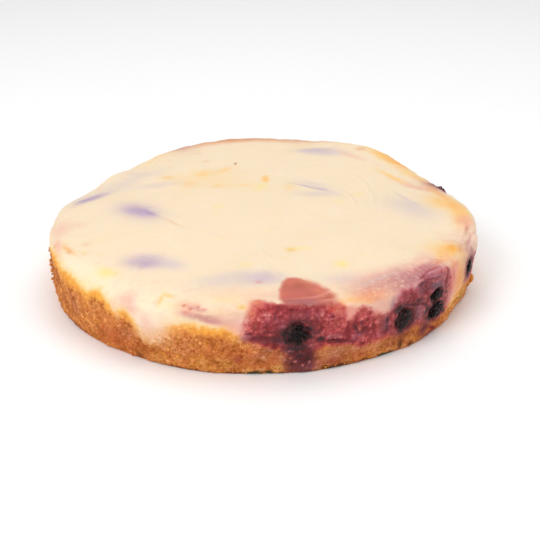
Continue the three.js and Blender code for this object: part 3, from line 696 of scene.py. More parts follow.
# The coral patch where fruit lies bare on the rim: its edge as angle and way up, and the stains on it.
CORAL_EDGE = [
    (-84.4, 39), (-85.3, 46), (-84.9, 56), (-83.6, 63.4), (-82, 67.2), (-79.2, 67.4), (-76.8, 65), (-75, 62),
    (-73.8, 58), (-73, 53.8), (-72.3, 49.6), (-71.8, 46), (-72.2, 42.5), (-73, 39),
]
CORAL_SPAN = (-92, -66)
CORAL_FOOT = 34
CORAL_HEAD = 75
CORAL_STAINS = [
    (-81, 63.6, 6, 3.4, 0, 2, SALMON, 0.4),
    (-79.6, 59, 4.5, 3.6, 10, 2.5, TERRACOTTA, 0.75),
    (-75.2, 52, 4, 3, -20, 2, SALMON, 0.6),
    (-74.6, 63, 7, 4, -24, 2, PEACH, 0.85),
    (-72.6, 57, 3, 3, -30, 2, BLUSH, 0.6),
    (-74, 48.6, 7, 1.2, 22, 2, PALE_PINK, 0.7),
    (-73.2, 45.3, 5, 1.6, 8, 2.5, TERRACOTTA, 0.7),
    (-81, 50, 6, 4, 0, 2, PINK, 0.4),
    (-78, 46, 14, 0.6, 2, 2, PALE_PINK, 0.6),
    (-80, 43, 10, 1.8, 0, 2.5, DUSKY_ROSE, 0.7),
    (-78.6, 40.8, 4, 1, 0, 2, LILAC_GREY, 0.7),
    (-74, 42.6, 6, 1, 2, 2, PALE_PINK, 0.6),
]

# Creases (below 0) and ridges (above 0) that spreading left in the top: their course, half width, height.
STROKES = [
    ([(15, -1), (10, -21), (5.5, -36), (2, -49)], 0.8, -0.5),
    ([(17, -2), (12.2, -21), (7.8, -36), (4.4, -48)], 1.1, 0.35),
    ([(-1.5, -60), (3, -72), (8.5, -83)], 0.9, 0.3),
    ([(17, 40), (18, 24), (22, 10), (30, 4)], 1, 0.35),
    ([(44, 27), (52, 20), (56, 5), (56, -14)], 1, 0.4),
    ([(47, 26), (54.5, 19), (58.3, 5), (58, -12)], 0.9, -0.3),
    ([(58, 50), (65, 38), (68.5, 16), (66, -18)], 1.1, 0.45),
    ([(61, 50), (67.5, 38), (71, 16), (68.5, -16)], 0.9, -0.3),
    ([(73, 42), (77, 22), (75, 0)], 1, 0.25),
    ([(-61, -17), (-54, -25), (-44, -34)], 0.8, -0.4),
    ([(-59, -73), (-56, -76), (-55, -79)], 0.5, 0.45),
    ([(-53, -81), (-50, -86)], 0.5, 0.4),
    ([(84, 30), (88, 15), (95, 1)], 0.9, -0.35),
    ([(74, 60), (84, 50), (94, 39), (106, 33)], 0.9, -0.45),
    ([(19, 36), (28, 27.5), (39, 23)], 0.7, -0.3),
    ([(-70, 60), (-45, 72), (-18, 78)], 1.5, 0.15),
    ([(-95, -20), (-80, -45), (-60, -52)], 1.5, 0.15),
]

# Fruit just under the skin that lifts it: at which angle, how far up, radius, and by how much.
SWELLINGS = [
    (-43, 36, 8, 1.2), (-55.2, 34.5, 5, 1), (-66.5, 31, 4, 0.7), (-106, 38, 4, 0.5), (-90, 36, 8, 0.7),
    (-74, 33, 6, 0.6), (-18, 34, 9, 1.3), (-124, 30, 5, 0.5), (36, 30, 7, 1), (112, 30, 8, 1),
    (150, 26, 6, 0.6),
]

# Grooves in the fruit where flesh has sagged, and broad dents in the side: by how many millimetres, at which
# angle, how far up, half length round the cake, half height, and turn.
FRUIT_GROOVES = [
    (0.9, -72.7, 17.5, 8, 0.9, -12), (0.9, -89.5, 22, 7, 1, 6), (0.7, -69.6, 24, 1, 9),
    (0.7, -50, 26, 9, 0.7, -16),
]
SIDE_DENTS = [(0.8, -162, 27, 20, 9), (1.3, -166, 20, 18, 6)]

# Where juice has run down the crust and wets it, where the cream is washed with juice at the right and the
# left, and where its skin is wrinkled: at which angle, how far up, half length and half height.
JUICE_RUN = (-81, 8, 8, 9)
RIGHT_WASH = (-50, 43, 40, 12)
LEFT_WASH = (-116, 38, 46, 12)
WRINKLED_WASH = (-50, 48, 32, 9)

# How wet a surface is, from 0 to 1.
FRUIT_WET = 0.8
CORAL_WET = 0.5
JUICE_WET = 0.7
HALO_WET = 0.6

# How far from its middle a stain shows, as a multiple of its half length; how far beside a berry its halo
# shows; and above which height the top's stains show.
STAIN_REACH = 2.6
HALO_REACH = 12
LOWEST_TOP = 25

# How strongly a berry's juice dyes the flesh beside it, over how many millimetres that fades, and the dark
# rim close to the berry: how strong and how wide.
HALO_STRENGTH = 0.72
HALO_FADE = 3
HALO_RIM = 0.35
HALO_RIM_WIDE = 1.4

# Heights and depths of the small forms, in millimetres.
CRUMB_HEIGHT = 0.5
SMALL_CRUMB_HEIGHT = 0.3
PIT_DEPTH = 0.6
BEAD_HEIGHT = 0.8
SMALL_BEAD_HEIGHT = 0.4
FRUIT_SUNK = 0.2
SOCKET_LIP = 0.6
SOCKET_DENT = 0.9
PINHOLE_DEPTH = 0.3

# Crumbs: how many, between which angles and heights, and their smallest and largest size.
CRUMBS = [
    (130, (-180, 180), (0.7, 2.0), (0.5, 1.0)),
    (60, (-180, -150), (2, 30), (0.5, 1.3)),
    (14, (-60, -24), (1, 12), (0.5, 1.2)),
    (16, (-24, -10), (1, 12), (0.6, 1.4)),
    (60, (-10, 180), (2, 20), (0.5, 1.2)),
]
BIG_CRUMBS = [
    (-15, 8.5, 5.6), (-17, 7, 2.4), (-23, 5, 1.5), (-171, 19, 1.5), (-168, 13, 1.6), (-31, 3, 1.4),
    (135, 6, 1.8),
    (-164, 21, 2), (-163, 15.5, 2.2), (-160, 13.5, 2), (-161, 10, 1.8), (-157, 8, 2), (-154, 6, 1.8),
    (-150, 4, 1.6), (-122, 1.2, 1.8), (-101, 0.8, 1.4),
]

# How far each crumb is sunk in.
CRUMB_SUNK = 0.25

# Where the foot's ragged edge reaches out (above 0) or is tucked in, over the lowest few millimetres.
FOOT_EDGE = [(-28.5, 5, -2), (-100, 16, 1.2), (-80, 8, 1), (-137, 10, 0.8), (-50, 5, 1)]

# ---- Finishes and the set

# Specks: where, the colour they multiply by, their size in millimetres, how much they cover, and how strong
# they are. The brightest fruit specks and the bright berry specks are painted highlights.
CREAM_SPECKS = [("all", (1.02, 1.0, 1.06), 6, 0.5, 0.6), ("all", (0.97, 0.94, 0.9), 2, 0.42, 0.5)]
CRUST_SPECKS = [
    ("crumb", (0.68, 0.34, 0.1), 1.8, 0.44, 0.75),
    ("crumb", (1.25, 1.7, 2.1), 2.3, 0.43, 0.8),
    ("crumb", (0.7, 0.36, 0.15), 1.0, 0.4, 0.6),
    ("crumb", (1.3, 2.0, 3.0), 1.2, 0.37, 0.8),
]
FRUIT_SPECKS = [
    ("fruit", (0.52, 0.24, 0.28), 2.1, 0.42, 0.6),
    ("fruit", (1.35, 2.0, 2.0), 1.7, 0.4, 0.7),
    # Painted highlight: bright pale glints on the wet fruit.
    ("fruit", (1.7, 4.4, 4.2), 1.5, 0.33, 0.85),
]
# The second berry specks are painted highlights: bright glints on the dark berries.
BERRY_SPECKS = [("all", (0.4, 0.3, 0.3), 1.2, 0.45, 0.7), ("all", (30, 25, 27), 1.5, 0.37, 0.85)]
SPECK_EDGE = 0.07

# Height of the fine grain in millimetres, and roughness where a surface is dry and where it is wet.
CRUMB_GRAIN = 0.9
FIBRE_GRAIN = 0.5
CREAM_GRAIN = 0.12
CAKE_ROUGHNESS = (0.58, 0.17)
BERRY_ROUGHNESS = (0.5, 0.2)
CAKE_SHADER = {
    "Specular IOR Level": 0.35,
    "Subsurface Weight": 0.12,
    "Subsurface Radius": (1.0, 0.5, 0.3),
    "Subsurface Scale": 0.003,
}
BERRY_SHADER = {"Specular IOR Level": 0.16}

# The camera's place and its tilt below level. Each square light's place and size in metres, and watts.
CAMERA_PLACE = (4.764, -555.4, 272.86)
CAMERA_TILT = 26.39
CAMERA_LENS = 66.32
FLOOR_RADIUS = 6
FLOOR_ROUGHNESS = 0.7
SKY_STRENGTH = 0.58
SOFTBOXES = {
    "key": ((-0.75, -0.85, 1.0), 0.7, 8),
    "top": ((0.1, 0.3, 1.3), 1.0, 5.5),
    "fill": ((1.1, -0.6, 0.6), 0.8, 2.2),
}

# ---- The cake's form


def turn(degrees):
    """The same turn, between -180 and 180."""
    return (degrees + 180) % 360 - 180


def around(humps, angle):
    """The sum of some humps and dips at each angle."""
    total = np.zeros(np.shape(angle))
    for at, wide, by in humps:
        total = total + by * np.exp(-((turn(angle - at) / wide) ** 2))
    return total


def way_round(angle):
    """The way round the foot, in millimetres, that an angle makes."""
    return np.radians(angle) * FOOT_RADIUS


def mix(a, b, share):
    return a + (b - a) * share


def ease(low, high, value):
    """0 up to low, 1 from high on, and a smooth change between. low may be the larger."""
    share = np.clip((value - low) / (high - low), 0, 1)
    return share * share * (3 - 2 * share)


def rim_height(angle):
    """How high the rim's top is."""
    return RIM_HEIGHT + around(RIM, angle)


def shoulder_width(angle):
    return SHOULDER + around(SLUMP, angle)


def shoulder_start(angle):
    return rim_height(angle) - SHOULDER_DROP * shoulder_width(angle)


def side_radius(angle, height):
    """How far from the axis the side is. Above shoulder_start it rounds inwards."""
    start = shoulder_start(angle)
    swell = 1 - ((np.minimum(height, start) - SWELL_HEIGHT) / SWELL_HEIGHT) ** 2
    wall = FOOT_RADIUS + around(OUTLINE, angle) + SIDE_SWELL * swell
    over = np.clip((height - start) / (rim_height(angle) - start), 0, 1)
    return wall - shoulder_width(angle) * (1 - np.sqrt(1 - over**2))


def ragged_foot(angle, height, bevel=FOOT_BEVEL):
    """How far the foot's ragged edge stands out from the side. Its lowest edge is bevelled."""
    reach = around(FOOT_EDGE, angle) * np.exp(-((height / RAGGED_HEIGHT) ** 2))
    return reach - bevel * np.exp(-height / BEVEL_HEIGHT)


def crust_top(angle):
    """How high the browned base reaches at the side."""
    return np.minimum(CRUST_HEIGHT + around(CRUST, angle), shoulder_start(angle) + CRUST_REACH)


def berry_top(angle):
    """How high the berry layer reaches at the side."""
    shown = FILLING_SEAM + around(FILLING, angle)
    return np.minimum(crust_top(angle) + shown, rim_height(angle) - TOPPING_LIP)


def top_height(angle, share, x, y):
    """Height of the top at a share of the way from the middle to the rim."""
    long, slanting = WAVE_HEIGHTS
    waves = long * np.sin(x / 21 + 1.3) * np.cos(y / 17) + slanting * np.sin((x - y) / 11)
    return mix(CROWN_HEIGHT, rim_height(angle), share**CROWN_FALL) + waves * (1 - share**6)


def polar(points):
    """Angle, distance from the axis, and height."""
    x, y, z = points.T
    return np.degrees(np.arctan2(y, x)), np.hypot(x, y), z


def how_far_up(points):
    """The way along the surface from the foot to each point: up the side, then inwards."""
    angle, radius, height = polar(points)
    start, rim, wide = shoulder_start(angle), rim_height(angle), shoulder_width(angle)
    arc = np.pi / 2 * np.sqrt((wide**2 + (rim - start) ** 2) / 2)
    turned = np.arcsin(np.clip((height - start) / (rim - start), 0, 1)) / (np.pi / 2)
    inward = side_radius(angle, rim) - radius
    on_side = np.where(height < start, height, start + arc * turned)
    return np.where(inward > 0, start + arc + inward, on_side)


def berry_middle(at, up, sunk):
    """The middle of a berry that is sunk into the side so far."""
    radius = side_radius(np.float64(at), np.float64(up)) - sunk
    return np.array([radius * np.cos(np.radians(at)), radius * np.sin(np.radians(at)), up])


# ---- Natural unevenness


def draw(cells, seed):
    """A number from 0 to 1 for each whole-numbered cell, always the same for the same seed."""
    x, y, z = np.moveaxis(cells.astype(np.int64), -1, 0)
    mixed = (x * 73856093) ^ (y * 19349663) ^ (z * 83492791) ^ (seed * 49979687 + 12345)
    mixed = (mixed ^ (mixed >> 13)) * 1274126177
    mixed = (mixed ^ (mixed >> 16)) & 0xFFFFFF
    return mixed / 0xFFFFFF


def draw_way(cells, seed):
    """Three such numbers for each cell."""
    return np.stack([draw(cells, seed + k) for k in (0, 1, 2)], -1)


def lumps(points, size, seed):
    """Smooth unevenness from about -1 to 1, in lumps about size across."""
    place = points / size + seed * 0.37
    cell = np.floor(place)
    inside = place - cell
    weight = inside * inside * (3 - 2 * inside)
    total = np.zeros(len(points))
    for corner in product((0, 1), repeat=3):
        pull = draw_way(cell + corner, seed) * 2 - 1
        near = np.prod(np.where(np.array(corner) == 1, weight, 1 - weight), axis=-1)
        total += near * np.sum(pull * (inside - corner), axis=-1)
    return total * 1.6


def uneven(points, kind):
    """One of the kinds of unevenness, in millimetres."""
    return sum(by * lumps(points, size, seed) for by, size, seed in UNEVEN[kind])


def wobble(points, seed):
    """How far the edge of a stain strays, in millimetres."""
    return 1.4 * lumps(points, 7, seed) + 0.8 * lumps(points, 2.4, seed + 5)


def grains(points, kind):
    """The way to the nearest of many scattered grains, as a share of their size, and its own number."""
    size, seed = GRAINS[kind]
    place = points / size
    cell = np.floor(place)
    nearest = np.full(len(points), 9.0)
    number = np.zeros(len(points))
    for step in product((-1, 0, 1), repeat=3):
        at = cell + step
        away = np.linalg.norm(place - (at + 0.1 + 0.8 * draw_way(at, seed)), axis=-1)
        closer = away < nearest
        nearest[closer] = away[closer]
        number[closer] = draw(at, seed + 3)[closer]
    return nearest, number


# ---- Laying colour on colour


def lay(tint, colour, share):
    """The tints moved towards a colour by a share, as a dye moves them. As with juice, half a share of a dark
    colour stays rich. It lays stains, painted shade and painted highlights alike.
    """
    return tint * (colour / tint) ** np.clip(share, 0, 1)[..., None]


def lay_patches(tint, points, kind, share=1.0):
    """The tints with one of the kinds of soft patches laid over them."""
    for colour, low, high, size, seed, strength in PATCHES[kind]:
        tint = lay(tint, colour, ease(low, high, lumps(points, size, seed)) * share * strength)
    return tint


def blot(across, along, half_sizes, turned=0.0, sharp=2):
    """How strongly a stain shows at points so far across and along from its middle."""
    c, s = np.cos(np.radians(turned)), np.sin(np.radians(turned))
    long, tall = half_sizes
    away = np.hypot((across * c + along * s) / long, (along * c - across * s) / tall)
    return np.exp(-(away**sharp))


def side_blot(angle, up, at, high, long, tall, turned=0.0, sharp=2):
    """How strongly a stain on the side or the rim shows."""
    return blot(way_round(turn(angle - at)), up - high, (long, tall), turned, sharp)


def lay_top_stains(tint, x, y, stray):
    """The tints of the top's points with its stains laid over them, one after the other."""
    for (at_x, at_y), sizes, turned, sharp, colour, strength in TOP_STAINS:
        near = np.hypot(x - at_x, y - at_y) < STAIN_REACH * max(sizes) + 2
        ragged = 0.8 * min(1, min(sizes) / 5)
        dx, dy = x[near] - at_x + ragged * stray[near], y[near] - at_y + ragged * stray[near]
        tint[near] = lay(tint[near], colour, blot(dx, dy, sizes, turned, sharp) * strength)
    return tint


def lay_side_stains(tint, stains, angle, up, stray, share=1.0):
    """The tints with some stains of the side laid over them, one after the other. Some rows are painted
    highlights or painted shadow instead of stains.
    """
    share = share * np.ones(len(angle))
    for at, high, long, tall, turned, sharp, colour, strength in stains:
        ragged = min(1, min(long, tall) / 4 + 0.1)
        across = way_round(turn(angle - at))
        near = np.hypot(across, up - high) < STAIN_REACH * max(long, tall) + 2
        dx, dy = across[near] - 0.5 * ragged * stray[near], up[near] + ragged * stray[near] - high
        shows = blot(dx, dy, (long, tall), turned, sharp)
        tint[near] = lay(tint[near], colour, shows * share[near] * strength)
    return tint


# ---- Drawn edges and lines


def way_to_stretch(x, y, start, end):
    """How far points are from a straight stretch, and how far along it they lie, from 0 to 1."""
    (ax, ay), (bx, by) = start, end
    dx, dy = bx - ax, by - ay
    along = np.clip(((x - ax) * dx + (y - ay) * dy) / (dx * dx + dy * dy), 0, 1)
    return np.hypot(x - ax - along * dx, y - ay - along * dy), along


def way_outside(x, y, corners):
    """How far points are outside a closed outline; less than 0 inside it."""
    nearest = np.full(len(x), np.inf)
    inside = np.zeros(len(x), bool)
    for (ax, ay), (bx, by) in zip(corners, corners[1:] + corners[:1]):
        nearest = np.minimum(nearest, way_to_stretch(x, y, (ax, ay), (bx, by))[0])
        slope = (bx - ax) / (by - ay) if by != ay else 0
        inside ^= ((ay > y) != (by > y)) & (x < ax + (y - ay) * slope)
    return np.where(inside, -nearest, nearest)


def way_to_course(x, y, course):
    """How far points are from a line of straight stretches, and how far along it they lie, from 0 to 1."""
    nearest = np.full(len(x), np.inf)
    place = np.zeros(len(x))
    for i, (start, end) in enumerate(zip(course, course[1:])):
        away, along = way_to_stretch(x, y, start, end)
        closer = away < nearest
        nearest[closer] = away[closer]
        place[closer] = ((i + along) / (len(course) - 1))[closer]
    return nearest, place


def within_edge(angle, up, edge, stray, pull, soft):
    """How much of each point lies inside a drawn edge. The pull says how far the edge strays each way."""
    corners = [(way_round(at), high) for at, high in edge]
    across, along = pull
    outside_by = way_outside(way_round(angle) + across * stray, up + along * stray, corners)
    return ease(soft, -soft, outside_by)


# ---- What shows at each place


def at_the_front(angle):
    """1 over the front half, whose edges are drawn, and 0 over the rest."""
    return ease(*FRONT_FADES_IN, angle) * ease(*FRONT_FADES_OUT, angle)


def haze_share(angle):
    """Where the topping has run down over the crust and hides it under a pale haze."""
    return np.exp(-((turn(angle - HAZE_AT) / HAZE_WIDE) ** 4))


def brownness(points, up):
    """How baked the side is at each point: first warm, then golden, then brown."""
    angle, _, _ = polar(points)
    drawn = np.interp(angle, *zip(*BAKED_LINE))
    line = mix(crust_top(angle), drawn, at_the_front(angle))
    haze = haze_share(angle)
    depth = line + uneven(points, "baked edge") * (1 - 0.4 * haze) - up
    golden = ease(-1.6 - 4 * haze, 2 + 2 * haze, depth)
    warm = ease(-5, 0, depth) * (1 - haze)
    fringe = around(WIDE_FRINGE, angle)
    flecks = 1.6 * lumps(points, 3, 14) + fringe * 0.5 * lumps(points, 1.6, 18)
    brown = ease(0.5, 6 + fringe, depth + flecks)
    return warm, golden, brown


def fruitiness(points, up):
    """How much fruit shows at each point: as drawn at the front, and by the layer's form elsewhere."""
    angle, _, _ = polar(points)
    stray = wobble(points, 41)
    near = (angle > FRUIT_SPAN[0]) & (angle < FRUIT_SPAN[1])
    drawn = np.zeros(len(points))
    ragged = stray[near] + uneven(points[near], "fine edge")
    soft = 1.5 + around(SOFT_EDGES, angle[near])
    drawn[near] = within_edge(angle[near], up[near], FRUIT_EDGE, ragged, (0.5, 0.7), soft)
    above_crust = ease(-1.5, 1.5, up - crust_top(angle) + 0.5 + stray)
    elsewhere = above_crust * ease(-2, 2, berry_top(angle) - up + stray)
    elsewhere *= ease(2.5, 6, around(FILLING, angle)) * (1 - at_the_front(angle))
    return np.maximum(drawn, elsewhere)


def coral_share(points, up):
    """How much of the coral patch shows at each point of the rim."""
    angle, _, _ = polar(points)
    near = (angle > CORAL_SPAN[0]) & (angle < CORAL_SPAN[1]) & (up > CORAL_FOOT) & (up < CORAL_HEAD)
    share = np.zeros(len(points))
    stray = uneven(points[near], "coral edge")
    soft = 1.7 + 1.6 * ease(-79, -75, angle[near])
    share[near] = within_edge(angle[near], up[near], CORAL_EDGE, stray, (1, 1), soft)
    return share


def berry_halo(points):
    """How strongly each berry's juice darkens the flesh near it, in ragged rays."""
    share = np.zeros(len(points))
    stray = uneven(points, "halo edge")
    for (at, up), (across, tall), sunk, *_ in BERRIES.values():
        middle = berry_middle(at, up, sunk)
        close = np.linalg.norm(points - middle, axis=-1) < across + tall + HALO_REACH
        way = (points[close] - middle) / (1.08 * across, 1.08 * across, tall)
        length = np.linalg.norm(way, axis=-1)
        rays = lumps(way / length[:, None], 0.2, 53)
        away = np.maximum((length - 1) * (across + tall) / 2 + stray[close] + 1.2 * rays, 0)
        strong = sunk / DEEPEST_SUNK
        shows = HALO_STRENGTH * strong * np.exp(-away / HALO_FADE) + HALO_RIM * ease(HALO_RIM_WIDE, 0, away)
        share[close] = np.maximum(share[close], shows)
    return share


def cream_colours(points, angle, up, stray):
    """The set cream with what has stained it."""
    x, y, height = points.T
    tint = np.tile(CREAM, (len(points), 1))
    tint = lay_patches(tint, points, "cream")
    above = height > LOWEST_TOP
    tint[above] = lay_top_stains(tint[above], x[above], y[above], stray[above])
    low = ease(66, 50, up)
    tint = lay_patches(tint, points, "low cream", low)
    tint = lay_side_stains(tint, CREAM_STAINS_AND_GLINT, angle, up, stray)
    tint = lay_patches(tint, points, "specked cream", low)
    washed = side_blot(angle, up, *RIGHT_WASH, sharp=4)
    mottled = np.maximum(washed, 0.6 * side_blot(angle, up, *LEFT_WASH, sharp=4))
    tint = lay_patches(tint, points, "washed cream", washed)
    return lay_patches(tint, points, "mottled cream", mottled)


def crust_colours(points):
    """The browned crust: crumbs of several shades, with painted shade darkening the gaps between them."""
    away, number = grains(points, "crumb")
    small, small_number = grains(points, "small crumb")
    tint = np.tile(BROWN, (len(points), 1))
    tint = lay_patches(tint, points, "crust")
    tint = lay(tint, GOLD, ease(0.6, 0.95, number) * 0.55)
    tint = lay(tint, DARK_BROWN, ease(0.35, 0.0, number) * 0.5)
    # Painted shade in the gaps between large and small crumbs, which lie low in the relief.
    tint = lay(tint, GAP_SHADE, ease(0.5, 0.85, away) * 0.32)
    tint = lay(tint, GAP_SHADE, ease(0.45, 0.75, small) * 0.22)
    return lay(tint, PEACH, ease(0.4, 0.1, small) * ease(0.55, 0.9, small_number) * 0.6)


def fruit_colours(points):
    """The cooked fruit's flesh: small beads with a paler top, a painted highlight, and darker grooves between
    them, painted shade.
    """
    away, number = grains(points, "bead")
    small, small_number = grains(points, "small bead")
    fibres = lumps(points * (1, 1, 0.7), 1.3, 49)
    tint = np.tile(ROSE, (len(points), 1))
    tint = lay_patches(tint, points, "fruit")
    tint = lay(tint, MAUVE, ease(0.7, 0.95, number) * 0.35)
    tint = lay(tint, BRICK, ease(0.3, 0.05, number) * 0.3)
    # Painted shade: crimson and dark red in the grooves between beads, which lie low in the relief.
    tint = lay(tint, CRIMSON, ease(0.45, 0.8, away) * 0.5)
    tint = lay(tint, DARK_RED, ease(0.42, 0.75, small) * 0.4)
    # Painted highlight: a paler top on some of the small beads.
    tint = lay(tint, PALE_PINK, ease(0.42, 0.15, small) * ease(0.35, 0.8, small_number) * 0.7)
    tint = lay(tint, CRIMSON, ease(0.1, 0.8, fibres) * 0.4)
    return lay(tint, PALE_PINK, ease(-0.2, -0.9, fibres) * 0.6)


def coral_colours(points, angle, up, frayed):
    """The bare fruit of the coral patch on the rim."""
    tint = lay_patches(np.tile(CORAL, (len(points), 1)), points, "coral")
    return lay_side_stains(tint, CORAL_STAINS, angle, up, frayed)


def outside(points, up):
    """Colour, wetness, crumb and fruit at each point of the cake's outside."""
    angle, _, _ = polar(points)
    stray, frayed = wobble(points, 31), uneven(points, "fine edge")
    tint = cream_colours(points, angle, up, stray)
    warm, golden, brown = brownness(points, up)
    haze = haze_share(angle)
    tint = lay(tint, APRICOT, warm * 0.4)
    tint = lay(tint, GOLD, golden * 0.85 * (1 - 0.85 * haze))
    tint = lay(tint, PEACH, golden * 0.7 * haze)
    tint = lay(tint, crust_colours(points), brown)
    tint = lay_side_stains(tint, CRUST_STAINS_AND_FOOT_SHADOW, angle, up, stray + frayed, np.maximum(golden, 0.25))
    fruit = fruitiness(points, up)
    tint = lay(tint, fruit_colours(points), fruit)
    tint = lay_side_stains(tint, FRUIT_STAINS_AND_GLINTS + JUICE_STAINS_AND_GLINTS, angle, up, frayed)
    coral = coral_share(points, up)
    tint = lay(tint, coral_colours(points, angle, up, frayed), coral)
    halo = berry_halo(points)
    tint = lay(tint, STAINED_FLESH, halo)
    tint = lay(tint, PLUM, ease(0.62, 0.85, halo) * 0.9)
    juice = side_blot(angle, up, *JUICE_RUN, sharp=4)
    damp = np.maximum(JUICE_WET * juice, np.minimum(halo, HALO_WET))
    wet = np.maximum.reduce([FRUIT_WET * fruit, CORAL_WET * coral, damp])
    return tint, wet, (0.35 * golden + 0.65 * brown) * (1 - fruit), fruit


# ---- How uneven the outside is


def crumb_relief(points):
    """The baked, crumbly side: broad lumps, crumbs, and the pits between them."""
    away, number = grains(points, "crumb")
    small, _ = grains(points, "small crumb")
    pits = ease(0.7, 0.9, number) * ease(0.6, 0.15, away)
    crumbs = CRUMB_HEIGHT * (0.5 - away) + SMALL_CRUMB_HEIGHT * (0.5 - small)
    return uneven(points, "crust") + crumbs - PIT_DEPTH * pits


def fruit_relief(points, angle, up):
    """The cooked fruit: lumps of flesh, and the grooves where they have sagged."""
    away, _ = grains(points, "bead")
    small, _ = grains(points, "small bead")
    beads = BEAD_HEIGHT * (0.5 - away) + SMALL_BEAD_HEIGHT * (0.5 - small)
    relief = beads + uneven(points, "flesh") - FRUIT_SUNK
    for deep, *groove in FRUIT_GROOVES:
        relief -= deep * side_blot(angle, up, *groove)
    return relief


def swelling_relief(angle, up):
    """Where fruit under the skin lifts it, with a shallow groove round each swelling."""
    relief = np.zeros(len(angle))
    for at, high, size, by in SWELLINGS:
        away = np.hypot(way_round(turn(angle - at)), up - high) / size
        relief += by * np.exp(-(away**3)) - 0.3 * by * np.exp(-(((away - 1.25) / 0.15) ** 2))
    return relief


def socket_relief(points):
    """The dent and the lifted edge round each whole berry."""
    relief = np.zeros(len(points))
    for (at, up), (across, tall), sunk, *_ in BERRIES.values():
        away = np.linalg.norm(points - berry_middle(at, up, sunk), axis=-1) - (across + tall) / 2
        relief += SOCKET_LIP * np.exp(-(((away - 2.4) / 1.3) ** 2))
        relief -= SOCKET_DENT * np.exp(-((away / 1.1) ** 2))
    return relief


def spreading_relief(points):
    """The creases and ridges left where the top was spread."""
    x, y, z = points.T
    relief = np.zeros(len(points))
    for course, wide, by in STROKES:
        ends = np.array(course)
        low, high = ends.min(0) - 4, ends.max(0) + 4
        near = (x > low[0]) & (x < high[0]) & (y > low[1]) & (y < high[1]) & (z > 34)
        away, along = way_to_course(x[near] + 0.5 * lumps(points[near], 9, 80), y[near], course)
        fade = ease(0, 0.2, along) * ease(1, 0.8, along)
        relief[near] += by * np.exp(-((away / wide) ** 2)) * fade
    return relief


def cream_relief(points, angle, up):
    """The set cream: it drapes, wrinkles at the right, and has pinholes on the side."""
    on_side = ease(56, 44, up)
    wrinkled = ease(-34, -20, angle) * ease(60, 40, angle) + side_blot(angle, up, *WRINKLED_WASH)
    relief = uneven(points, "drape") + on_side * uneven(points, "side drape")
    relief += on_side * wrinkled * uneven(points, "wrinkles") + spreading_relief(points)
    away, number = grains(points, "pinhole")
    return relief - PINHOLE_DEPTH * ease(0.85, 0.95, number) * ease(0.22, 0.08, away) * on_side


def relief_outside(points, up, crumb, fruit):
    """How far each point of the outside is lifted, in millimetres."""
    angle, _, _ = polar(points)
    relief = cream_relief(points, angle, up) * (1 - 0.7 * np.maximum(crumb, fruit))
    relief += swelling_relief(angle, up)
    relief += crumb_relief(points) * ease(0.1, 0.9, crumb) + fruit_relief(points, angle, up) * fruit
    for deep, *dent in SIDE_DENTS:
        relief -= deep * side_blot(angle, up, *dent)
    return relief + socket_relief(points)


# ---- Meshes


def ring_angles(count):
    """The angles of a ring's points, closest together at the front."""
    even = 2 * np.pi * np.arange(count) / count
    return FINEST_AT + np.degrees(even - CROWDING * np.sin(even))


def ring(angle, radius, height):
    x, y = radius * np.cos(np.radians(angle)), radius * np.sin(np.radians(angle))
    return np.stack([x, y, height + 0 * x], -1)


def side_ring(angle, height, lean=0.0):
    """A ring that follows the side, or lies behind it by as much as it leans in."""
    return ring(angle, side_radius(angle, height) - lean, height)


def side_rings(columns, rows, low, high, lap=0.0):
    """Rings up the side. With a lap, both edges run on behind their neighbours and lean in there."""
    angle = ring_angles(columns)
    bottom, top = low(angle), high(angle)
    rings = [side_ring(angle, mix(bottom + lap, top - lap, row / rows)) for row in range(rows + 1)]
    if lap:
        below = [side_ring(angle, bottom + rise, lap - rise) for rise in (0, 0.5 * lap)]
        above = [side_ring(angle, top - rise, lap - rise) for rise in (0.5 * lap, 0)]
        rings = below + rings + above
    return rings


def inner_rings(columns, inside, edge, lift):
    """The hidden rings between two layers, from the middle out."""
    rings = []
    for part, share in INNER_RINGS:
        angle = ring_angles(columns // part)
        radius = share * (side_radius(angle, edge(angle)) - LEVEL_EDGE)
        rings.append(ring(angle, radius, inside + (edge(angle) - inside) * share**LAYER_RISE + lift))
    return rings


def band(lower, upper, first):
    """The faces between two rings that have as many points, or one has twice as many."""
    above = first + lower
    count = min(lower, upper)
    i = np.arange(count)
    j = (i + 1) % count
    if lower == upper:
        return np.stack([first + i, first + j, above + j, above + i], 1).tolist()
    even, odd, after = 2 * i, 2 * i + 1, (2 * i + 2) % (2 * count)
    if lower > upper:
        three = [
            (first + even, first + odd, above + i),
            (first + odd, first + after, above + j),
            (first + odd, above + j, above + i),
        ]
    else:
        three = [
            (first + i, first + j, above + odd),
            (first + i, above + odd, above + even),
            (first + j, above + after, above + odd),
        ]
    return np.concatenate([np.stack(face, 1) for face in three]).tolist()


def new_mesh(name, points, faces):
    """A smooth mesh from points in millimetres."""
    mesh = bpy.data.meshes.new(name)
    mesh.from_pydata((points * MM).tolist(), [], faces)
    mesh.polygons.foreach_set("use_smooth", np.ones(len(faces), bool))
    return mesh


def skin(name, rings):
    """One closed mesh over rings from the underside's middle, out, up, and in to the top's middle."""
    counts = [len(points) for points in rings]
    points = np.concatenate(rings)
    faces = []
    first = 0
    for lower, upper in zip(counts, counts[1:]):
        faces += band(lower, upper, first)
        first += lower
    for start, count, down in ((0, counts[0], True), (first, counts[-1], False)):
        i = np.arange(count)
        here, after = start + i, start + (i + 1) % count
        middle = np.full(count, len(points))
        points = np.vstack([points, points[start : start + count].mean(0)])
        faces += np.stack([middle, after, here] if down else [middle, here, after], 1).tolist()
    return new_mesh(name, points, faces), points


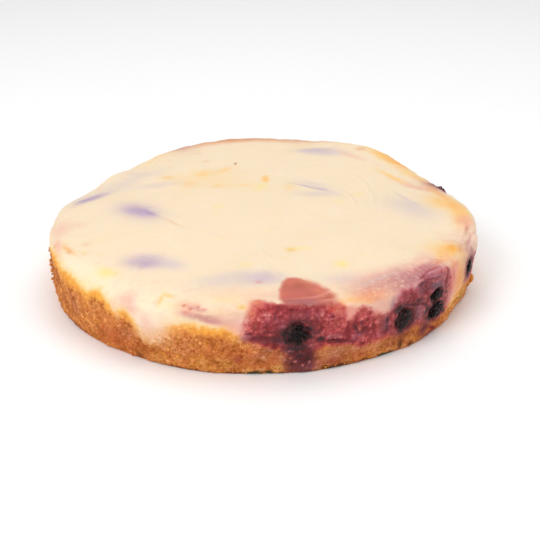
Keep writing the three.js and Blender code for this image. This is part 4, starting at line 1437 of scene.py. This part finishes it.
def facing(points):
    """The way that the side faces at each point."""
    angle, radius, height = polar(points)
    slope = (side_radius(angle, height + 0.05) - side_radius(angle, height - 0.05)) / 0.1
    skew = (side_radius(angle + 0.5, height) - side_radius(angle - 0.5, height)) / np.radians(1) / radius
    out = np.stack([np.cos(np.radians(angle)), np.sin(np.radians(angle)), 0 * angle], -1)
    along = np.stack([-out[:, 1], out[:, 0], 0 * angle], -1)
    way = out - skew[:, None] * along - np.stack([0 * slope, 0 * slope, slope], -1)
    return way / np.linalg.norm(way, axis=-1, keepdims=True)


def give_look(mesh, tint, wet, crumb, fruit):
    """Stores each point's colour, wetness, crumb and fruit for the materials."""
    colour = np.ones((len(tint), 4), np.float32)
    colour[:, :3] = np.clip(tint, 0, 1)
    mesh.attributes.new("tint", "FLOAT_COLOR", "POINT").data.foreach_set("color", colour.ravel())
    for name, value in (("wet", wet), ("crumb", crumb), ("fruit", fruit)):
        value = (value + np.zeros(len(tint))).astype(np.float32)
        mesh.attributes.new(name, "FLOAT", "POINT").data.foreach_set("value", value)


def dress(mesh, points, shown):
    """Colours a layer's outside and makes it uneven, with painted shade in its hollows and painted light on
    raised crumb. shown is 0 where it is inside the cake.
    """
    up = how_far_up(points)
    tint, wet, crumb, fruit = outside(points, up)
    relief = relief_outside(points, up, crumb, fruit) * shown
    # Painted shade: hollows of the relief are darkened, dark brown on crumb and dark red on fruit. Painted
    # light: raised crumb is made paler.
    hollow = ease(0.2, -0.9, relief)
    tint = lay(tint, GAP_SHADE, hollow * crumb**2 * 0.5)
    tint = lay(tint, DARK_RED, hollow * fruit * 0.5)
    tint = lay(tint, APRICOT, ease(0.3, 0.9, relief) * crumb * 0.35)
    normals = np.empty(3 * len(points), np.float32)
    mesh.vertex_normals.foreach_get("vector", normals)
    on_top = up > TOP_STARTS
    way = np.where(on_top[:, None], normals.reshape(-1, 3), facing(points))
    mesh.vertices.foreach_set("co", ((points + way * relief[:, None]) * MM).astype(np.float32).ravel())
    mesh.update()
    give_look(mesh, tint, wet, crumb, fruit)


def add_piece(name, mesh, material, slot, *nodes):
    """Puts a piece in the scene, in place of the nodes that it stands for."""
    piece = bpy.data.objects.new(name, mesh)
    bpy.context.scene.collection.objects.link(piece)
    mesh.materials.append(material)
    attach(piece, "root")
    if nodes:
        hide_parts(*nodes)
    return piece


# ---- The three layers


def outside_only(points):
    """1 at the side and 0 further in, where nothing is uneven."""
    angle, radius, height = polar(points)
    return ease(-2.4, -1.4, radius - side_radius(angle, height))


def make_base(material):
    """The browned base, with its ragged foot and its crumbly side."""
    under = []
    for part, share in FOOT_RINGS:
        angle = ring_angles(SIDE_COLUMNS // part)
        under.append(ring(angle, share * (side_radius(angle, 0) + ragged_foot(angle, 0)), 0))
    angle = ring_angles(SIDE_COLUMNS)
    side = []
    for row in range(ROWS["base"] + 1):
        height = (row / ROWS["base"]) ** ROWS_CROWD_DOWN * crust_top(angle)
        side.append(side_ring(angle, height, -ragged_foot(angle, height)))
    over = inner_rings(SIDE_COLUMNS, BASE_INSIDE, crust_top, 0)
    mesh, points = skin("browned_base", under + side + over[::-1])
    dress(mesh, points, outside_only(points) * ease(0, 1.2, points[:, 2]))
    return add_piece("browned_base", mesh, material, "browned_crust", "cake_base")


def make_berry_layer(material):
    """The cooked berries, which show at the side between the base and the topping."""

    def low(angle):
        return crust_top(angle) - SEAM_LAP

    def high(angle):
        return berry_top(angle) + SEAM_LAP

    under = inner_rings(SIDE_COLUMNS, BASE_INSIDE, low, HIDDEN_GAP)
    side = side_rings(SIDE_COLUMNS, ROWS["berry layer"], low, high, SEAM_LAP)
    over = inner_rings(SIDE_COLUMNS, FILLING_INSIDE, high, -HIDDEN_GAP)
    mesh, points = skin("berry_layer_fruit", under + side + over[::-1])
    dress(mesh, points, outside_only(points))
    return add_piece("berry_layer_fruit", mesh, material, "cooked_berries", "berry_layer")


def top_rings():
    """Rings of the top from the rim inwards, with fewer points towards the middle."""
    shares, counts = [], []
    for part, inner, rows in TOP_ROWS:
        outer = shares[-1] if shares else 1.0
        shares += [mix(outer, inner, (row + 1) / rows) for row in range(rows)]
        counts += [TOPPING_COLUMNS // part] * rows
    rings = []
    for share, count in zip(shares, counts):
        angle = ring_angles(count)
        flat = ring(angle, share * side_radius(angle, rim_height(angle)), 0)
        flat[:, 2] = top_height(polar(flat)[0], share, flat[:, 0], flat[:, 1])
        rings.append(flat)
    return rings


def make_topping(material):
    """The set cream: its side, its rounded shoulder and its top."""

    def shoulder_foot(angle):
        return np.maximum(shoulder_start(angle), berry_top(angle) + 0.5)

    under = inner_rings(TOPPING_COLUMNS, FILLING_INSIDE, berry_top, TOPPING_GAP)
    side = side_rings(TOPPING_COLUMNS, ROWS["topping side"], berry_top, shoulder_foot)
    angle = ring_angles(TOPPING_COLUMNS)
    shoulder = []
    for row in range(1, ROWS["shoulder"] + 1):
        over = np.sin(np.pi / 2 * row / ROWS["shoulder"])
        shoulder.append(side_ring(angle, mix(shoulder_foot(angle), rim_height(angle), over)))
    mesh, points = skin("cream_topping_skin", under + side + shoulder + top_rings())
    hidden = np.arange(len(points)) < sum(map(len, under))
    dress(mesh, points, np.where(hidden, 0.0, 1.0))
    return add_piece("cream_topping_skin", mesh, material, "set_cream", "cream_topping")


# ---- Berries and crumbs


def ball(detail):
    """The points of an even ball of radius 1, and its faces."""
    form = bmesh.new()
    bmesh.ops.create_icosphere(form, subdivisions=detail, radius=1)
    points = np.array([vert.co[:] for vert in form.verts])
    faces = [[vert.index for vert in face.verts] for face in form.faces]
    form.free()
    return points, faces


def drupelet_tops():
    """The tops of the drupelets, spread over a ball of radius 1, and how much each one draws back."""
    number = np.arange(DRUPELETS) + 0.5
    slant = np.arccos(1 - 2 * number / DRUPELETS)
    spin = np.pi * (1 + 5**0.5) * number
    tops = np.stack([np.cos(slant), np.sin(slant) * np.cos(spin), np.sin(slant) * np.sin(spin)], -1)
    tops += DRUPELET_STRAY * rng.normal(size=tops.shape)
    return tops, 1 + REACH_STRAY * rng.normal(size=DRUPELETS)


def make_berry(name, material, form):
    """A cooked berry of small drupelets that has fallen in a little at its outer end."""
    (at, up), (across, tall), sunk, lean, hollow = BERRIES[name]
    points, faces = form
    tops, reach = drupelet_tops()
    away = np.linalg.norm(points[:, None] - tops[None], axis=-1) * reach
    nearest = np.argmin(away, -1)
    away = np.sort(away, axis=-1)
    valley = np.exp(-(((away[:, 1] - away[:, 0]) / VALLEY_WIDE) ** 2))
    outward = np.degrees(np.arccos(np.clip(points[:, 0], -1, 1)))
    dent = ease(46, 24, outward + 8 * lumps(points, 0.5, 93))
    size = rng.uniform(-0.05, 0.05, DRUPELETS)[nearest]
    spread = 1 + (size - VALLEY_DEPTH * valley - DRUPELET_ROUND * away[:, 0]) * (1 - 0.5 * dent)
    spread += 0.1 * lumps(points, 0.7, 91 + int(up)) + 0.07 * lumps(points, 0.3, 94) - hollow * dent * 0.6
    body = points * spread[:, None] * (across, across, tall)
    place = Matrix.Translation(berry_middle(at, up, sunk)) @ Matrix.Rotation(np.radians(at), 4, "Z")
    place = np.array(place @ Matrix.Rotation(np.radians(lean), 4, "X"))
    mesh = new_mesh(name, body @ place[:3, :3].T + place[:3, 3], faces)
    tint = lay_patches(np.tile(INKY, (len(points), 1)), points, "berry")
    tint = lay(tint, WINE, ease(60, 100, outward) * 0.5)
    tint = lay(tint, LILAC_GREY, BLOOM.get(name, 0.0))
    give_look(mesh, tint, 0.9 - 0.7 * dent, 0, 0.3)
    return add_piece(name + "_fruit", mesh, material, "dark_berry", name)


def make_crumbs(material, form):
    """Loose crumbs that cling to the side and the foot."""
    unit, unit_faces = form
    spots = list(BIG_CRUMBS)
    for count, (angle_low, angle_high), (low, high), (small, large) in CRUMBS:
        for _ in range(count):
            at = rng.uniform(angle_low, angle_high)
            spots.append((at, rng.uniform(low, high), rng.uniform(small, large) ** 1.2))
    points, faces = [], []
    for at, high, size in spots:
        radius = side_radius(np.float64(at), np.float64(high)) + 0.1 * size - CRUMB_SUNK
        radius += ragged_foot(at, high, 0.6 * FOOT_BEVEL)
        middle = np.array([radius * np.cos(np.radians(at)), radius * np.sin(np.radians(at)), high])
        shape = unit * (1 + 0.35 * lumps(unit + high, 0.8, int(abs(at)) + 5))[:, None]
        shape = shape * rng.uniform(0.6, 1.1, 3) * size * 0.6
        shape[:, 2] = np.maximum(shape[:, 2], -middle[2])
        faces += [[len(points) * len(unit) + i for i in face] for face in unit_faces]
        points.append(shape + middle)
    points = np.concatenate(points)
    mesh = new_mesh("crumbs", points, faces)
    give_look(mesh, lay_patches(crust_colours(points), points, "loose crumb"), 0, 1, 0)
    return add_piece("crumbs", mesh, material, "browned_crust")


# ---- Finishes


def put(tree, kind, sockets=None, **settings):
    """Adds a shader node, with values or links on its sockets."""
    node = tree.nodes.new(kind)
    for name, value in settings.items():
        setattr(node, name, value)
    for name, value in (sockets or {}).items():
        if isinstance(value, bpy.types.NodeSocket):
            tree.links.new(value, node.inputs[name])
        else:
            node.inputs[name].default_value = value
    return node


def maths(tree, operation, a, b, clamp=False):
    return put(tree, "ShaderNodeMath", {0: a, 1: b}, operation=operation, use_clamp=clamp).outputs[0]


def between(tree, value, low, high, to_low=0.0, to_high=1.0):
    """A value brought from one range to another and kept inside it."""
    sockets = {"Value": value, "From Min": low, "From Max": high, "To Min": to_low, "To Max": to_high}
    return put(tree, "ShaderNodeMapRange", sockets).outputs["Result"]


def cloudy(tree, place, scale, detail, roughness=0.5):
    """Soft noise from 0 to 1, so many clouds to the metre."""
    sockets = {"Vector": place, "Scale": scale, "Detail": detail, "Roughness": roughness}
    return put(tree, "ShaderNodeTexNoise", sockets).outputs["Fac"]


def start_group(name, inputs, output):
    """A new shader node group: its inner input sockets, its output socket, and places on the object."""
    tree = bpy.data.node_groups.new(name, "ShaderNodeTree")
    for title, value in inputs.items():
        kind = "NodeSocketColor" if isinstance(value, tuple) else "NodeSocketFloat"
        socket = tree.interface.new_socket(name=title, in_out="INPUT", socket_type=kind)
        socket.default_value = value
    title, kind = output
    tree.interface.new_socket(name=title, in_out="OUTPUT", socket_type=kind)
    given, wanted = put(tree, "NodeGroupInput").outputs, put(tree, "NodeGroupOutput").inputs
    return tree, given, wanted[title], put(tree, "ShaderNodeTexCoord").outputs["Object"]


def speckle_group():
    """Multiplies irregular specks of a colour by a shade where a mask shows: darker specks, paler specks, and
    bright glints that are painted highlights. Size is in metres.
    """
    inputs = {"Colour": (0.8, 0.8, 0.8, 1), "Shade": (0.3, 0.3, 0.3, 1), "Mask": 1.0}
    inputs.update({"Size": 0.002, "Cover": 0.5, "Strength": 0.5})
    tree, given, wanted, place = start_group("Speckle", inputs, ("Colour", "NodeSocketColor"))
    noise = cloudy(tree, place, maths(tree, "DIVIDE", 1.0, given["Size"]), 3.0, 0.6)
    edge = maths(tree, "SUBTRACT", 1.0, given["Cover"])
    mask = between(tree, noise, edge, maths(tree, "ADD", edge, SPECK_EDGE))
    strong = maths(tree, "MULTIPLY", given["Strength"], given["Mask"])
    share = maths(tree, "MULTIPLY", mask, strong, clamp=True)
    sockets = {0: share, 6: given["Colour"], 7: given["Shade"]}
    speckled = put(tree, "ShaderNodeMix", sockets, data_type="RGBA", blend_type="MULTIPLY")
    tree.links.new(speckled.outputs[2], wanted)
    return tree


def grain_group():
    """The fine grain of a cooked surface, as a height in metres: smooth cream, rough crumb, fibrous fruit."""
    inputs = {"Crumb": 0.0, "Fruit": 0.0}
    tree, given, wanted, place = start_group("Fine grain", inputs, ("Height", "NodeSocketFloat"))
    rough = cloudy(tree, place, 1100.0, 4.0, 0.65)
    smooth = cloudy(tree, place, 420.0, 3.0)
    cells = put(tree, "ShaderNodeTexVoronoi", {"Vector": place, "Scale": 750.0}).outputs["Distance"]
    coarse = maths(tree, "ADD", rough, between(tree, cells, 0.0, 0.4, -0.5, 0.0))
    crumb = maths(tree, "MULTIPLY", maths(tree, "MULTIPLY", coarse, given["Crumb"]), CRUMB_GRAIN * MM)
    fibres = maths(tree, "MULTIPLY", maths(tree, "MULTIPLY", rough, given["Fruit"]), FIBRE_GRAIN * MM)
    cream = maths(tree, "MULTIPLY", smooth, CREAM_GRAIN * MM)
    tree.links.new(maths(tree, "ADD", maths(tree, "ADD", crumb, fibres), cream), wanted)
    return tree


def moisture_group():
    """Roughness that drops where a surface is wet, in uneven patches, and rises where it is crumbly."""
    inputs = {"Wet": 0.0, "Crumb": 0.0, "Dry roughness": 0.5, "Wet roughness": 0.25}
    tree, given, wanted, place = start_group("Moisture", inputs, ("Roughness", "NodeSocketFloat"))
    patch = between(tree, cloudy(tree, place, 280.0, 2.0), 0.35, 0.6, 0.5, 1.0)
    wet = maths(tree, "MULTIPLY", given["Wet"], patch, clamp=True)
    span = maths(tree, "SUBTRACT", given["Wet roughness"], given["Dry roughness"])
    rough = maths(tree, "ADD", given["Dry roughness"], maths(tree, "MULTIPLY", span, wet))
    matt = maths(tree, "MULTIPLY", given["Crumb"], 0.3)
    tree.links.new(maths(tree, "ADD", rough, matt, clamp=True), wanted)
    return tree


SPECKLE, FINE_GRAIN, MOISTURE = speckle_group(), grain_group(), moisture_group()


def finish(name, specks, roughness, shader):
    """A cooked surface's material: its stored colours with specks over them, moisture and fine grain."""
    material = bpy.data.materials.new(name)
    material.use_nodes = True
    tree = material.node_tree
    tree.nodes.clear()

    def stored(title, socket="Fac"):
        return put(tree, "ShaderNodeAttribute", attribute_name=title).outputs[socket]

    def effect(group, sockets, output):
        return put(tree, "ShaderNodeGroup", sockets, node_tree=group).outputs[output]

    crumb, fruit = stored("crumb"), stored("fruit")
    masks = {"crumb": crumb, "fruit": fruit, "all": 1.0}
    colour = stored("tint", "Color")
    for where, speck_shade, size, cover, strength in specks:
        sockets = {"Colour": colour, "Shade": (*speck_shade, 1.0), "Mask": masks[where], "Size": size * MM}
        colour = effect(SPECKLE, {**sockets, "Cover": cover, "Strength": strength}, "Colour")
    dry, wet = roughness
    sockets = {"Wet": stored("wet"), "Crumb": crumb, "Dry roughness": dry, "Wet roughness": wet}
    damp = effect(MOISTURE, sockets, "Roughness")
    grain = effect(FINE_GRAIN, {"Crumb": crumb, "Fruit": fruit}, "Height")
    raised = put(tree, "ShaderNodeBump", {"Height": grain, "Strength": 1.0, "Distance": 1.0})
    sockets = {"Base Color": colour, "Roughness": damp, "Normal": raised.outputs["Normal"]}
    principled = put(tree, "ShaderNodeBsdfPrincipled", {**sockets, **shader})
    put(tree, "ShaderNodeOutputMaterial", {"Surface": principled.outputs["BSDF"]})
    return material


def cake_finish(name):
    """The finish that the three layers share. Stored masks say where it is crumb, fruit or cream."""
    return finish(name, CREAM_SPECKS + CRUST_SPECKS + FRUIT_SPECKS, CAKE_ROUGHNESS, CAKE_SHADER)


# ---- The set: camera, light and floor


def place_camera():
    """The camera, straight in front and looking down on the cake."""
    data = bpy.data.cameras.new("camera")
    data.lens, data.sensor_width = CAMERA_LENS, 36
    camera = bpy.data.objects.new("camera", data)
    camera.location = Vector(CAMERA_PLACE) * MM
    camera.rotation_euler = (np.radians(90 - CAMERA_TILT), 0, 0)
    bpy.context.scene.collection.objects.link(camera)
    bpy.context.scene.camera = camera


def softbox(name, place, size, watts):
    """A large square light that faces the cake."""
    data = bpy.data.lights.new(name, "AREA")
    data.size, data.energy = size, watts
    light = bpy.data.objects.new(name, data)
    light.location = place
    light.rotation_euler = (-Vector(place)).to_track_quat("-Z", "Y").to_euler()
    bpy.context.scene.collection.objects.link(light)


def lay_floor():
    """A plain pale floor."""
    form = bmesh.new()
    bmesh.ops.create_circle(form, cap_ends=True, segments=96, radius=FLOOR_RADIUS)
    mesh = bpy.data.meshes.new("floor")
    form.to_mesh(mesh)
    form.free()
    floor = bpy.data.objects.new("floor", mesh)
    bpy.context.scene.collection.objects.link(floor)
    material = bpy.data.materials.new("Pale floor")
    material.use_nodes = True
    principled = material.node_tree.nodes["Principled BSDF"]
    principled.inputs["Base Color"].default_value = (1, 1, 1, 1)
    principled.inputs["Roughness"].default_value = FLOOR_ROUGHNESS
    mesh.materials.append(material)


def light_set():
    """Even light from all round, and three square lights."""
    world = bpy.data.worlds.new("studio")
    bpy.context.scene.world = world
    world.use_nodes = True
    background = world.node_tree.nodes["Background"].inputs
    background["Color"].default_value = (1, 1, 1, 1)
    background["Strength"].default_value = SKY_STRENGTH
    for name, (place, size, watts) in SOFTBOXES.items():
        softbox(name, place, size, watts)
    bpy.context.scene.view_settings.view_transform = "Standard"


# ---- The whole scene

place_camera()
light_set()
lay_floor()
crust_finish = cake_finish("Browned crust")
make_base(crust_finish)
make_berry_layer(cake_finish("Cooked fruit"))
make_topping(cake_finish("Set cream"))
berry_finish = finish("Dark berry", BERRY_SPECKS, BERRY_ROUGHNESS, BERRY_SHADER)
berry_form = ball(6)
for berry_name in BERRIES:
    make_berry(berry_name, berry_finish, berry_form)
make_crumbs(crust_finish, ball(2))
